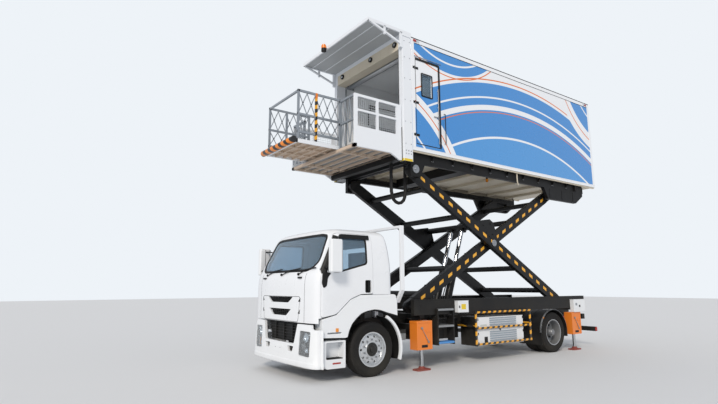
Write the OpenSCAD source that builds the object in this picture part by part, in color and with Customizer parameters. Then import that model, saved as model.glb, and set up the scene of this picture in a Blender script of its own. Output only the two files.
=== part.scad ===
// Airport catering truck: a two-axle cab-over lorry whose van body is raised on one
// pair of crossed arms, with a loading platform in front of the body's open end.
// Millimetres. X runs forward, Y to the vehicle's left, Z up from the ground.
// Lengths along the vehicle are counted from the front axle.

/* [Running gear] */
// Distance of the front axle ahead of the model's origin
front_axle_x = 3120; // [3000:10:3240]
// Distance between the axles
wheelbase = 5410; // [5200:10:5600]
// Distance of the outer tyres' middle plane from the vehicle's middle
wheel_y = 1012; // [980:2:1030]
// Radius of a tyre
tyre_r = 465; // [455:1:480]
// Width of a tyre
tyre_w = 275; // [255:1:285]
// Radius of the rim's flange
rim_r = 300; // [290:1:305]
// Distance between the middle planes of twin tyres
twin_pitch = 310; // [300:1:330]
// Distance of the kingpin from the vehicle's middle
kingpin_y = 850; // [840:1:860]

/* [Chassis] */
// Height of the chassis rails' top face
rail_top = 940; // [920:5:960]
// Depth of a chassis rail
rail_h = 250; // [220:5:270]
// Half the width over the chassis rails
rail_y = 430; // [410:5:450]
// Width of a chassis rail's flange
rail_w = 85; // [70:1:90]
// Overhang of the rails in front of the front axle
rail_front = 1040; // [1000:5:1060]
// Overhang of the rails behind the rear axle
rail_rear = 1840; // [1700:10:1900]

/* [Cab] */
// Half the width of the cab
cab_y = 1190; // [1160:5:1200]
// Distance of the cab's nose ahead of the front axle
cab_nose = 1250; // [1230:5:1270]
// Distance of the cab's back behind the front axle
cab_back = 430; // [400:5:450]
// Height of the cab's roof
roof_z = 2600; // [2560:5:2620]
// Height of the cab front's lower edge
nose_z = 950; // [940:5:970]
// Height of the underside of the cab's floor
floor_z = 1200; // [1190:5:1220]
// Thickness of the cab's walls and doors
cab_wall = 50; // [40:1:60]
// Gap round a door
door_gap = 6; // [5:0.5:10]
// Thickness of the glass
glass_t = 6; // [5:0.5:10]

/* [Lift] */
// Distance of the arms' front pivots behind the front axle
pivot_back = 1100; // [1080:5:1120]
// Height of the lower pivots
pivot_z = 1150; // [1140:5:1160]
// Distance from the front pivot to the rear roller as the lift stands
lift_span = 4800; // [4700:10:4900]
// Height of the upper pivots above the lower ones as the lift stands
lift_rise = 2700; // [2600:10:2750]
// Depth of an arm
arm_h = 240; // [200:5:250]
// Thickness of an arm
arm_t = 100; // [80:5:100]
// Distance of the outer arms' outer face from the middle
outer_arm_y = 1050; // [1040:1:1052]
// Gap between an inner and an outer arm
arm_gap = 40; // [30:1:50]
// Radius of the arms' track rollers
roller_r = 125; // [115:1:128]
// Radius of the hinge pins
pin_r = 45; // [40:1:50]
// Running clearance round a pin
pin_gap = 0.3; // [0.2:0.1:0.5]

/* [Lift cylinders] */
// Radius of a cylinder barrel
barrel_r = 85; // [75:1:95]
// Radius of a piston rod
rod_r = 48; // [40:1:55]
// Distance of each cylinder from the middle
cylinder_y = 170; // [150:5:190]
// Length of a barrel from its eye
barrel_len = 1180; // [1100:10:1250]
// Distance of the barrels' eyes behind the front axle
eye_back = 2750; // [2700:10:2800]
// Height of the barrels' eyes
eye_z = 880; // [870:5:900]
// Place of the rods' eyes along the outer arms, forward of their middle
bracket_u = 250; // [200:5:300]
// Height of the rods' eyes above the outer arms' middle line
bracket_v = 360; // [320:5:380]

/* [Van body] */
// Distance of the van body's front behind the front axle
van_front = 950; // [940:5:960]
// Length of the van body
van_len = 6660; // [6500:10:6800]
// Half the width of the van body
van_y = 1250; // [1220:5:1270]
// Height of the underside of the van body as the lift stands
van_z = 4200; // [4180:5:4230]
// Height of the van body's roof above its underside
van_h = 2390; // [2300:10:2450]
// Thickness of the van body's walls, roof and doors
van_wall = 60; // [50:1:80]
// Thickness of the van body's floor
van_floor = 120; // [100:5:150]
// Depth of the beams under the van body
beam_h = 300; // [280:5:320]
// Distance from the van body's front to its side door
side_door_front = 100; // [95:5:140]
// Width of the side door
side_door_w = 690; // [600:10:800]
// Height of the side door
side_door_h = 1830; // [1700:10:1900]
// Height of the rear shutter's opening
shutter_h = 2050; // [1900:10:2100]

/* [Portal and canopy] */
// Depth of a portal post along the vehicle
post_d = 230; // [210:5:240]
// Width of a portal post across the vehicle
post_w = 130; // [110:5:150]
// Distance that the posts reach below the van body
post_drop = 250; // [230:5:270]
// Distance that the canopy reaches ahead of the posts
canopy_reach = 870; // [800:10:950]
// Thickness of the canopy's roof
canopy_t = 50; // [40:5:60]
// Depth of the canopy's side trusses at the posts
truss_h = 300; // [260:10:340]

/* [Platform] */
// Height of the fixed platform's deck top
deck_z = 4130; // [4110:5:4150]
// Length of the fixed platform
deck_len = 1120; // [1050:10:1150]
// Half the width of the fixed platform
deck_y = 1200; // [1150:5:1230]
// Height of the guard rails above the deck
guard_h = 950; // [900:10:1100]
// Height of the solid kick panel above the deck
kick_h = 330; // [300:10:400]
// Half the width of the sliding deck
slide_y = 620; // [580:5:640]
// Length of the sliding deck
slide_len = 1290; // [1250:10:1300]
// Thickness of the sliding deck
slide_t = 70; // [60:5:90]
// Distance of the sliding deck's front ahead of the front axle
slide_front = 1300; // [1280:5:1310]
// Radius of the rubber buffer on the sliding deck's front
buffer_r = 60; // [50:1:65]
// Height of the folding rails above the sliding deck
lattice_h = 950; // [900:10:1100]

/* [Stabilisers and side gear] */
// Distance of the front stabilisers behind the front axle
jack_front = 1165; // [1150:5:1180]
// Distance of the rear stabilisers behind the rear axle
jack_rear = 860; // [850:5:880]
// Distance of the stabilisers from the middle
jack_y = 1120; // [1100:5:1130]
// Radius of a stabiliser's leg
leg_r = 38; // [32:1:45]
// Lowest height of the stabiliser housings
jack_z = 380; // [360:5:400]
// Height of a stabiliser housing
jack_h = 520; // [480:5:540]

/* [Hidden] */
$fn = 48;
seat = 0.3;
fa = front_axle_x;
ra = front_axle_x - wheelbase;

// Colours
white = "#e9edf2";
black = "#1b1c1e";
steel = "#8b8f94";
orange = "#e8821e";
yellow = "#f0b51c";
beige = "#cfc6b4";
rubber = "#17181a";
glass = "#56697a";

// Basic shapes
module block(x, y, z) translate([x[0], y[0], z[0]]) cube([x[1] - x[0], y[1] - y[0], z[1] - z[0]]);
module both_sides() { children(); mirror([0, 1, 0]) children(); }
module ybar(r, y, x, z) translate([x, y[0], z]) rotate([-90, 0, 0]) cylinder(r = r, h = y[1] - y[0]);
module xbar(r, x, y, z) translate([x[0], y, z]) rotate([0, 90, 0]) cylinder(r = r, h = x[1] - x[0]);
module zbar(r, z, x, y) translate([x, y, z[0]]) cylinder(r = r, h = z[1] - z[0]);
module side_plate(points, y) translate([0, y[1], 0]) rotate([90, 0, 0]) linear_extrude(y[1] - y[0]) polygon(points);
module front_plate(points, x) translate([x[0], 0, 0]) rotate([90, 0, 90]) linear_extrude(x[1] - x[0]) polygon(points);
module plan_plate(points, z) translate([0, 0, z[0]]) linear_extrude(z[1] - z[0]) polygon(points);
// A straight bar of square section between two points in one side plane
module side_bar(p, q, w, y) {
  run = norm(q - p);
  tilt = atan2(q[1] - p[1], q[0] - p[0]);
  translate([p[0], y[0], p[1]]) rotate([0, -tilt, 0]) translate([0, 0, -w / 2]) cube([run, y[1] - y[0], w]);
}
function flip(points) = [for (i = [len(points) - 1:-1:0]) [points[i][0], -points[i][1]]];
function half_to_full(points) = concat(points, flip(points));
function arc(r, a0, a1, n = 12) = [for (i = [0:n]) let(a = a0 + (a1 - a0) * i / n) [r * cos(a), r * sin(a)]];
function moved(points, by) = [for (p = points) p + by];
function ring_sector(r0, r1, a0, a1, n = 16) = concat(arc(r0, a0, a1, n), arc(r1, a1, a0, n));

// Wheels
rim_w = tyre_w - 40;
rim_barrel = rim_r - 17;
bead_y = rim_w / 2 - seat;
hub_r = 110;
spindle_r = 40;
wheel_z = tyre_r;
stub_y = wheel_y - kingpin_y;
twin_y = wheel_y - twin_pitch / 2;

// Chassis rails
rail_in = rail_y - rail_w;
rail_low = rail_top - rail_h;
rail_x = [ra - rail_rear, fa + rail_front];

// Lift geometry
pivot_x = fa - pivot_back;
upper_z = pivot_z + lift_rise;
arm_len = norm([lift_span, lift_rise]);
arm_tilt = atan2(lift_rise, lift_span);
centre_x = pivot_x - lift_span / 2;
centre_z = pivot_z + lift_rise / 2;
inner_arm_y = outer_arm_y - arm_t - arm_gap;
track_in = outer_arm_y + 10;
track_out = track_in + 90;
track_flange = 20;
eye = [fa - eye_back, eye_z];
arm_dir = [cos(arm_tilt), sin(arm_tilt)];
arm_up = [-sin(arm_tilt), cos(arm_tilt)];
rod_eye = [centre_x, centre_z] + arm_dir * bracket_u + arm_up * bracket_v;
rod_reach = norm(rod_eye - eye);
rod_tilt = atan2(rod_eye[1] - eye[1], rod_eye[0] - eye[0]);
lever_r = 70;
lever_t = 30;
lever_plate = [
  [bracket_u - 420, arm_h / 2 - 20], [bracket_u + 500, arm_h / 2 - 20],
  [bracket_u + lever_r + 5, bracket_v + lever_r], [bracket_u - lever_r - 5, bracket_v + lever_r]
];
pad_t = 30;
pad_y = 65;
pad_h = 190;
brace_r = 60;
track_x = [pivot_x - lift_span - 900, pivot_x + 120];
roller_x = [pivot_x - arm_len - roller_r - 40, pivot_x - lift_span + 330];

// Van body
van_x = [fa - van_front - van_len, fa - van_front];
van_top = van_z + van_h;
cross_h = 200;
beam_top = van_z - cross_h;
beam_low = beam_top - beam_h;
deck_floor = van_z + van_floor;
shutter_low = deck_floor + 10;
shutter_y = van_y - 150;
door_x = [van_x[1] - side_door_front - side_door_w, van_x[1] - side_door_front];
door_low = van_z + 140;
post_x = [van_x[1], van_x[1] + post_d];
post_y = [van_y - post_w, van_y];
foot_x = [van_x[1] + 110, van_x[1] + 190];
crossbar_drop = 70;

// Platform
deck_x = [post_x[1] + 20, post_x[1] + 20 + deck_len];
deck_t = 60;
carriage_h = 170;
slide_x = [fa + slide_front - slide_len, fa + slide_front];
slide_z = deck_z + seat;
slide_top = slide_z + slide_t;

// Gear on the chassis sides
cabinet_x = [fa - 4220, fa - 2700];
cabinet_y = [700, 1165];
tank_x = [fa - 3300, fa - 2100];
tank_y = [-1150, -560];
guard_y = [540, 1165];
guard_r = [505, 530];

// Hose loop under the van body's front end, as [x, z]
hose_r = 34;
hose_y = 750;
hose_route = [[2325, 4005], [2325, 3850], [2325, 3700], [2325, 3550], [2323, 3430], [2305, 3340], [2270, 3270],
  [2210, 3222], [2140, 3205], [2070, 3222], [2010, 3270], [1975, 3340], [1957, 3430], [1955, 3550], [1955, 3700],
  [1955, 3850], [1955, 3999]];
hose_sides = 10;

// Cab's lower edge, grille slots and the bumper's lamp tower
sill = [[1060, 1025], [790, 1080], [500, 1325], [290, 1405], [-cab_back - 20, 1410]];
upper_slot = [[330, 1275], [490, 1375], [-490, 1375], [-330, 1275]];
lower_slot = [[260, 1050], [430, 1165], [-430, 1165], [-260, 1050]];
grille_slots = [upper_slot, lower_slot];
tower = [[1205, 930], [1130, 930], [700, 930], [640, 870], [560, 600], [560, 230], [1205, 230]];
window_z = 1930;

// Cab outlines, each drawn in from the outside by d
function cab_side(d) = [
  [fa - cab_back + d, floor_z - 20], [fa - cab_back + 10 + d, 1900], [fa - cab_back + 90 + d, roof_z - 130],
  [fa - cab_back + 150 + d, roof_z - 50 - d], [fa + 200, roof_z - d], [fa + 640, roof_z - 20 - d],
  [fa + 800 - d, roof_z - 80 - d], [fa + 880 - d, roof_z - 150], [fa + 1180 - d, 1830],
  [fa + cab_nose - 20 - d, 1720], [fa + cab_nose - d, 1560], [fa + cab_nose - d, nose_z],
  [fa + 1010, nose_z], [fa + 720, floor_z - 20]
];
function cab_plan(d) = half_to_full([
  [fa - cab_back + d - 5, cab_y - d], [fa + 1000 - d, cab_y - d], [fa + 1090 - d, cab_y - 12 - d],
  [fa + 1150 - d, cab_y - 60 - d], [fa + 1190 - d, cab_y - 150 - d], [fa + 1225 - d, 800], [fa + cab_nose - d, 450]
]);
function cab_face(d) = half_to_full([
  [floor_z - 400, cab_y - d], [1850, cab_y - d], [2250, cab_y - 35 - d], [roof_z - 170, cab_y - 75 - d],
  [roof_z - 100, cab_y - 115 - d], [roof_z - 50 - d, cab_y - 220], [roof_z - 15 - d, 600], [roof_z - d, 200]
]);
module cab_form(d) intersection() {
  side_plate(cab_side(d), [-cab_y, cab_y]);
  plan_plate(cab_plan(d), [nose_z - 100, roof_z + 100]);
  front_plate([for (p = cab_face(d)) [p[1], p[0]]], [fa - cab_back - 100, fa + cab_nose + 100]);
}

// Lower edge of the cab's side over the step and the wheel
function sill_line(up) = [for (p = sill) [fa + p[0], p[1] + up]];
// Outline of a cab door, drawn in by d
function door_outline(d) = [
  [fa + 1085 - d, 1044 + d], [fa + 1085 - d, 1830], [fa + 790 - d, roof_z - 160 - d], [fa + 740 - d, roof_z - 135 - d],
  [fa + 60 + d, roof_z - 135 - d], [fa + 20 + d, roof_z - 200], [fa + 20 + d, 1425 + d], [fa + 290, 1420 + d],
  [fa + 505, 1340 + d], [fa + 795, 1095 + d]
];
function door_window(d) = [
  [fa + 130 + d, window_z + d], [fa + 130 + d, roof_z - 190 - d], [fa + 709 - d, roof_z - 190 - d],
  [fa + 960 - d, window_z - 40], [fa + 975 - d, window_z - 130 + d], [fa + 760, window_z - 160 + d]
];
// Outline of the windscreen's opening seen from the front
screen_side = [[810, 1800], [960, 1850], [1050, 1960], [1050, 2060], [985, 2400], [940, 2450], [800, 2475]];
function screen_half(d) = [for (p = screen_side) [p[0] - d, p[1] + (p[1] < 2100 ? d : -d)]];
function screen(d) = concat(screen_half(d), [for (i = [len(screen_side) - 1:-1:0]) let(p = screen_half(d)[i]) [-p[0], p[1]]]);

module chassis_frame() color(black) {
  cross_members = [900, -1000, -2300, -3600, -4600, -6150, -7100];
  both_sides() difference() {
    union() {
      difference() {
        block(rail_x, [rail_in, rail_y], [rail_low, rail_top]);
        block([rail_x[0] - 1, rail_x[1] + 1], [rail_in - 1, rail_y - 10], [rail_low + 10, rail_top - 10]);
      }
      // Bracket of the lift cylinders
      block([eye[0] - 110, eye[0] + 110], [290, rail_y - 9], [eye[1] - 90, rail_top - 9]);
    }
    ybar(pin_r + pin_gap, [289, rail_in + 1], eye[0], eye[1]);
  }
  for (x = cross_members) block([fa + x - 50, fa + x + 50], [-rail_y + 10, rail_y - 10], [rail_low + 60, rail_top - 60]);
  // Cab mounts
  both_sides() for (x = [850, -300]) block([fa + x - 50, fa + x + 50], [rail_in, rail_y], [rail_top, floor_z]);
  // Outriggers of the stabilisers
  both_sides() for (x = [fa - jack_front, ra - jack_rear])
    block([x - 60, x + 60], [rail_y, jack_y - 100], [rail_low + 40, rail_low + 140]);
  // Spring hangers
  both_sides() for (axle = [fa, ra]) for (s = [-1, 1])
    block([axle + s * 620 - 40, axle + s * 620 + 40], [rail_in, rail_y], [rail_low - 40, rail_low]);
  // Rear underrun bar and its drops
  both_sides() block([rail_x[0], rail_x[0] + 80], [rail_in, rail_y], [400, rail_low]);
  block([rail_x[0] - 70, rail_x[0]], [-1150, 1150], [390, 500]);
}

module lift_frame() color(black) {
  low = pivot_z - roller_r - seat;
  both_sides() difference() {
    block(track_x, [track_in, track_out], [low - track_flange, pivot_z + roller_r + 5 + track_flange]);
    block([track_x[0] + 20, pivot_x - 300], [track_in - 1, track_out - 15], [low, pivot_z + roller_r + 5]);
    ybar(pin_r + pin_gap, [track_in - 1, track_out + 1], pivot_x, pivot_z);
  }
  // Cross beams on the chassis rails
  for (x = [pivot_x - 150, pivot_x - 800, pivot_x - 3400, track_x[0] + 100])
    block([x - 60, x + 60], [-track_in - 10, track_in + 10], [rail_top, low - 5]);
}

module engine() color(steel) block([fa - 880, fa + 480], [-rail_in + seat, rail_in - seat], [560, floor_z - 40]);

module spring(axle) both_sides() side_plate(concat(
  [for (i = [-6:6]) [axle + i * 660 / 6, rail_low - 210 + 135 * pow(i / 6, 2)]],
  [for (i = [6:-1:-6]) [axle + i * 660 / 6, rail_low - 150 + 110 * pow(i / 6, 2)]]), [rail_in + 5, rail_y - 5]);

module front_axle() color(black) {
  spring(fa);
  difference() {
    union() {
      block([fa - 45, fa + 45], [-kingpin_y + 60, kingpin_y - 60], [rail_low - 300, rail_low - 210]);
      both_sides() block([fa - 40, fa + 40], [kingpin_y - 140, kingpin_y - 20], [wheel_z - 55, wheel_z + 55]);
      both_sides() zbar(45, [wheel_z - 55, wheel_z + 55], fa, kingpin_y);
    }
    both_sides() zbar(20 + pin_gap, [wheel_z - 100, wheel_z + 100], fa, kingpin_y);
  }
}

module knuckle() translate([fa, kingpin_y, wheel_z]) {
  zbar(20, [-90, 90], 0, 0);
  for (z = [[-90, -60], [60, 90]]) {
    zbar(45, z, 0, 0);
    block([-40, 40], [0, 75], z);
  }
  block([-45, 45], [52, 78], [-90, 90]);
  ybar(spindle_r, [70, stub_y + 95], 0, 0);
}
module knuckle_left() color(black) knuckle();
module knuckle_right() color(black) mirror([0, 1, 0]) knuckle();

module rear_axle() color(black) {
  spring(ra);
  ybar(75, [-540, 540], ra, wheel_z);
  both_sides() ybar(spindle_r, [539, wheel_y + 60], ra, wheel_z);
  translate([ra, 0, wheel_z]) sphere(r = 200);
  both_sides() block([ra - 60, ra + 60], [rail_in + 5, rail_y - 5], [wheel_z, rail_low - 210]);
}

module drive_shaft() color(steel) {
  front = [fa - 880 - seat, 640];
  back = [ra + 200 + seat, wheel_z];
  run = norm(front - back);
  translate([back[0], 0, back[1]]) rotate([0, 90 - atan2(front[1] - back[1], front[0] - back[0]), 0])
    cylinder(r = 45, h = run - 2);
}

module tyre() rotate([-90, 0, 0]) rotate_extrude($fn = 96) polygon([
  [rim_barrel + seat, -bead_y], [rim_r - 2, -bead_y], [rim_r + 25, -tyre_w / 2 + 8], [tyre_r - 95, -tyre_w / 2],
  [tyre_r - 40, -tyre_w / 2 + 6], [tyre_r - 14, -tyre_w / 2 + 22], [tyre_r, -tyre_w / 2 + 52],
  [tyre_r, tyre_w / 2 - 52], [tyre_r - 14, tyre_w / 2 - 22], [tyre_r - 40, tyre_w / 2 - 6],
  [tyre_r - 95, tyre_w / 2], [rim_r + 25, tyre_w / 2 - 8], [rim_r - 2, bead_y], [rim_barrel + seat, bead_y]
]);
module rim() rotate([-90, 0, 0]) rotate_extrude($fn = 96) polygon([
  [rim_barrel - 10, -rim_w / 2 - 6], [rim_r - 3, -rim_w / 2 - 6], [rim_r - 3, -rim_w / 2],
  [rim_barrel, -rim_w / 2], [rim_barrel, rim_w / 2], [rim_r - 3, rim_w / 2], [rim_r - 3, rim_w / 2 + 6],
  [rim_barrel - 10, rim_w / 2 + 6]
]);
module disc(points) rotate([-90, 0, 0]) rotate_extrude($fn = 96) polygon(points);
module hand_holes(r, count, hole) for (i = [0:count - 1]) rotate([0, i * 360 / count, 0])
  translate([r, 0, 0]) rotate([90, 0, 0]) cylinder(r = hole, h = 500, center = true);

// The disc stands out towards the kerb, and the hub runs on the stub axle
module front_wheel() difference() {
  union() {
    rim();
    disc([[rim_barrel - 5, 30], [rim_barrel - 5, 60], [210, 95], [140, 95], [120, 112], [70, 118], [60, 150],
      [0, 150], [0, -70], [hub_r, -70], [hub_r, 75], [200, 75]]);
  }
  hand_holes(222, 10, 20);
  ybar(spindle_r + pin_gap, [-200, 98], 0, 0);
}
module rear_wheels() difference() {
  union() {
    for (s = [-1, 1]) translate([0, s * twin_pitch / 2, 0]) rim();
    disc([[rim_barrel - 5, 50], [rim_barrel - 5, 80], [220, 14], [hub_r, 14], [90, 200], [62, 270], [0, 270],
      [0, -150], [hub_r, -150], [hub_r, -14], [220, -14], [rim_barrel - 5, -80], [rim_barrel - 5, -50], [235, 0]]);
  }
  hand_holes(235, 10, 22);
  ybar(spindle_r + pin_gap, [-400, 221], 0, 0);
}
module tyre_front_left() color(rubber) translate([fa, wheel_y, wheel_z]) tyre();
module tyre_front_right() color(rubber) translate([fa, -wheel_y, wheel_z]) tyre();
module wheel_front_left() color(steel) translate([fa, wheel_y, wheel_z]) front_wheel();
module wheel_front_right() color(steel) mirror([0, 1, 0]) translate([fa, wheel_y, wheel_z]) front_wheel();
module tyre_pair() for (s = [-1, 1]) translate([ra, twin_y + s * twin_pitch / 2, wheel_z]) tyre();
module tyres_rear_left() color(rubber) tyre_pair();
module tyres_rear_right() color(rubber) mirror([0, 1, 0]) tyre_pair();
module wheels_rear_left() color(steel) translate([ra, twin_y, wheel_z]) rear_wheels();
module wheels_rear_right() color(steel) mirror([0, 1, 0]) translate([ra, twin_y, wheel_z]) rear_wheels();

module cab_shell() color(white) difference() {
  cab_form(0);
  intersection() {
    cab_form(cab_wall);
    block([fa - 1000, fa + 2000], [-cab_y, cab_y], [floor_z + 50, roof_z]);
  }
  block([fa - 1000, fa + cab_nose - cab_wall - 40], [-cab_y + cab_wall, cab_y - cab_wall], [nose_z - 200, floor_z]);
  // Space for the step and the wheel arch
  both_sides() side_plate([[fa + 1070, 800], [fa + 1070, 1045], [fa + 790, 1100], [fa + 500, 1345], [fa + 290, 1425],
    [fa + 20, 1425], [fa + 20, 1408 + seat], [fa - cab_back - 20, 1410 + seat], [fa - cab_back - 20, 800]],
    [rail_y + 500, cab_y + 10]);
  both_sides() side_plate(door_outline(-door_gap), [cab_y - 250, cab_y + 10]);
  front_plate(screen(0), [fa + 700, fa + cab_nose + 50]);
  // Rear window
  block([fa - cab_back - 50, fa - cab_back + 200], [-600, 600], [1900, 2300]);
  // Grille slots
  for (g = grille_slots) front_plate(g, [fa + cab_nose - 35, fa + cab_nose + 50]);
}

module windscreen() color(glass) intersection() {
  difference() { cab_form(14); cab_form(14 + glass_t); }
  front_plate(screen(seat), [fa + 700, fa + cab_nose + 50]);
}

module door() {
  difference() {
    intersection() {
      difference() { cab_form(0); cab_form(cab_wall); }
      side_plate(door_outline(0), [cab_y - 240, cab_y + 10]);
    }
    side_plate(door_window(0), [cab_y - 260, cab_y + 20]);
  }
  // Hinge leaves at the front edge
  for (z = [1150, 1640]) block([fa + 1075, fa + 1085 + door_gap - seat], [cab_y - 45, cab_y - 25], [z, z + 70]);
}
module door_pane() intersection() {
  difference() { cab_form(14); cab_form(14 + glass_t); }
  side_plate(door_window(seat), [cab_y - 240, cab_y + 10]);
}
module door_left() color(white) door();
module door_right() color(white) mirror([0, 1, 0]) door();
module door_glass_left() color(glass) door_pane();
module door_glass_right() color(glass) mirror([0, 1, 0]) door_pane();

module mirror_unit() {
  block([fa + 810, fa + 1045], [cab_y + 130, cab_y + 240], [1780, 2330]);
  block([fa + 1020, fa + 1040], [cab_y - 2.4, cab_y + 131], [1860, 1890]);
  block([fa + 835, fa + 855], [cab_y - 32.9, cab_y + 131], [2230, 2260]);
}
module mirror_left() color(white) mirror_unit();
module mirror_right() color(white) mirror([0, 1, 0]) mirror_unit();

module cab_interior() color("#5b5f66") {
  // Dashboard
  block([fa + 800, fa + cab_nose - 140], [-1000, 1000], [1560, 1760]);
  block([fa + 860, fa + 1000], [-1000, 1000], [floor_z + 50 + seat, 1561]);
  // Seats
  for (y = [-520, 520]) {
    block([fa - 80, fa + 440], [y - 250, y + 250], [floor_z + 50 + seat, 1560]);
    block([fa - 200, fa - 70], [y - 240, y + 240], [1500, 2180]);
  }
  // Steering wheel and its column
  translate([fa + 640, 520, 1840]) rotate([0, -35, 0]) {
    rotate_extrude() translate([200, 0]) circle(r = 16, $fn = 16);
    for (a = [0, 120, 240]) rotate([0, 0, a]) translate([0, -12, -8]) cube([195, 24, 16]);
    translate([0, 0, -300]) cylinder(r = 30, h = 295);
  }
}

module grilles() color(black) {
  for (g = grille_slots) front_plate([for (p = g) [p[0] * 0.998, p[1]]],
    [fa + cab_nose - 34, fa + cab_nose - 14]);
  // Panel behind the bumper's open middle
  block([fa + 1060 + seat, fa + 1170], [-640, 640], [570, nose_z - 30]);
}

// Front bumper: a shell that follows the cab's plan, with a lamp tower at each end
function bumper_plan(d) = half_to_full([
  [fa + 1075, 1200 - d], [fa + 1110 - d / 2, 1195 - d], [fa + 1175 - d, 1130 - d], [fa + 1230 - d, 900 - d / 2], [fa + 1275 - d, 450]
]);
module bumper() color(white) difference() {
  union() {
    difference() {
      plan_plate(bumper_plan(0), [235, 590]);
      plan_plate(bumper_plan(70), [200, 620]);
    }
    intersection() {
      difference() {
        plan_plate(bumper_plan(0), [300, 925]);
        plan_plate(bumper_plan(70), [200, 940]);
      }
      both_sides() front_plate(tower, [fa + 900, fa + 1400]);
    }
    // Mount on the rails' ends
    block([fa + rail_front, fa + 1206], [-rail_y, rail_y], [470, 560]);
    both_sides() block([fa + rail_front + seat, fa + 1060], [rail_in, rail_y], [470, rail_top - 20]);
  }
  both_sides() front_plate([[700, 430], [1090, 410], [1090, 810], [720, 810]], [fa + 1130, fa + 1400]);
  both_sides() front_plate([[360, 460], [520, 460], [540, 550], [330, 550]], [fa + 1150, fa + 1400]);
}
module headlamps() color(glass) both_sides() intersection() {
  difference() {
    plan_plate(bumper_plan(10), [300, 900]);
    plan_plate(bumper_plan(60), [200, 940]);
  }
  front_plate([[700 + seat, 430 + seat], [1090 - seat, 410 + seat], [1090 - seat, 810 - seat], [720 + seat, 810 - seat]],
    [fa + 1130 + seat, fa + 1400]);
}

// Step panel and wheel arch flare, one moulding on each side
module cab_skirts() color(white) both_sides() difference() {
  union() {
    // Brackets from the chassis rails
    block([fa + 820, fa + 880], [rail_y + seat, cab_y - 239], [rail_low + 10, rail_low + 70]);
    skirt();
  }
  // Foot holes
  block([fa + 640, fa + 960], [cab_y - 150, cab_y + 10], [370, 640]);
  block([fa + 680, fa + 930], [cab_y - 150, cab_y + 10], [760, 930]);
}
module skirt() side_plate(concat(sill_line(0), [[fa - 530, 1030], [fa - 300, 1090], [fa - 20, 1150], [fa + 270, 1090],
    [fa + 470, 920], [fa + 560, 710], [fa + 600, 220], [fa + 970, 220], [fa + 1060, 320]]), [cab_y - 240, cab_y - 5]);

module mudguards() {
  color(white) both_sides() side_plate(moved(ring_sector(600, 645, 118, 200), [fa, wheel_z]), [cab_y - 320, cab_y - 5]);
  color(black) both_sides() side_plate(moved(ring_sector(guard_r[0], guard_r[1], -8, 172), [ra, wheel_z]), guard_y);
  color(black) both_sides() {
    block([ra + guard_r[0] + 1, ra + guard_r[1]], guard_y, [200, wheel_z + 70]);
    block([ra - guard_r[1], ra - guard_r[0] + 4], guard_y, [wheel_z - 120, wheel_z + 80]);
    block([ra - 30, ra + 30], [rail_y, guard_y[0] + 5], [rail_top - 90, rail_top - 30]);
    block([ra - 30, ra + 30], [guard_y[0] - 20, guard_y[0] + 5], [rail_top - 90, wheel_z + guard_r[1] - 5]);
    block([fa - 590, fa - 560], [rail_y, cab_y - 319], [rail_low + 40, rail_low + 90]);
  }
}

// White tube frame across the vehicle behind the cab
module wind_frame() color(white) {
  x = [fa - 680, fa - 600];
  top = 2680;
  tube = 50;
  difference() {
    front_plate([[1240, top], [1240, 1480], [1090, 1250], [-1090, 1250], [-1240, 1480], [-1240, top]], x);
    front_plate([[1240 - tube, top - tube], [1240 - tube, 1495], [1063, 1300], [-1063, 1300], [tube - 1240, 1495],
      [tube - 1240, top - tube]], [x[0] - 1, x[1] + 1]);
  }
  both_sides() block(x, [rail_in, rail_y], [rail_top, 1251]);
}

module side_ladder() color(black) {
  x = [fa - 1980, fa - 1550];
  for (s = x) {
    block([s - 15, s + 15], [1030, track_out + seat + 5], [430, 970]);
    block([s - 15, s + 15], [track_out + seat, 1200], [430, 1110]);
  }
  for (z = [450, 760]) block([x[0] + 10, x[1] - 10], [1035, 1200], [z, z + 35]);
  block([x[0] + 10, x[1] - 10], [track_out + seat, 1200], [1075, 1110]);
  block([x[0] - 15, x[1] + 15], [rail_y, 1040], [rail_low + 60, rail_low + 120]);
}

module control_boxes() color(white) {
  block([fa - 2370, fa - 2070], [track_out + seat, track_out + 100], [1030, 1255]);
  block([fa - 6660, fa - 6160], [track_out + seat, track_out + 100], [910, 1210]);
}

module power_cabinet() color(white) {
  block(cabinet_x, cabinet_y, [330, rail_top - 30]);
  for (x = [cabinet_x[0] + 120, cabinet_x[1] - 200])
    block([x - 40, x + 40], [rail_y, cabinet_y[0] + 1], [rail_low + 20, rail_low + 120]);
}

module hazard_rail() color(yellow) {
  y = cabinet_y[1] + 40;
  r = 22;
  x = [cabinet_x[0] - 230, cabinet_x[1] + 100];
  for (z = [370, 690, 1010]) xbar(r, x, y, z);
  for (s = [x[0] + r, x[1] - r]) {
    zbar(r, [370, 1010], s, y);
    block([s - 15, s + 15], [rail_y, y], [rail_low + 30, rail_low + 60]);
  }
}

module fuel_tank() color(steel) {
  block(tank_x, tank_y, [350, rail_top - 40]);
  for (x = [tank_x[0] + 200, tank_x[1] - 200])
    block([x - 40, x + 40], [tank_y[1] - 1, -rail_y], [rail_low + 20, rail_low + 120]);
}

module stabiliser_housings() color(orange) both_sides() for (x = [fa - jack_front, ra - jack_rear]) {
  difference() {
    block([x - 190, x + 190], [jack_y - 100, jack_y + 100], [jack_z, jack_z + jack_h]);
    zbar(leg_r + seat, [jack_z - 1, jack_z + jack_h - 30], x, jack_y);
  }
}
module stabiliser_leg(x, side) scale([1, side, 1]) {
  zbar(leg_r, [29, jack_z + 185], x, jack_y);
  block([x - 160, x + 160], [jack_y - 90, jack_y + 90], [0, 30]);
}
module leg_front_left() color("#7c2b24") stabiliser_leg(fa - jack_front, 1);
module leg_front_right() color("#7c2b24") stabiliser_leg(fa - jack_front, -1);
module leg_rear_left() color("#7c2b24") stabiliser_leg(ra - jack_rear, 1);
module leg_rear_right() color("#7c2b24") stabiliser_leg(ra - jack_rear, -1);

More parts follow.
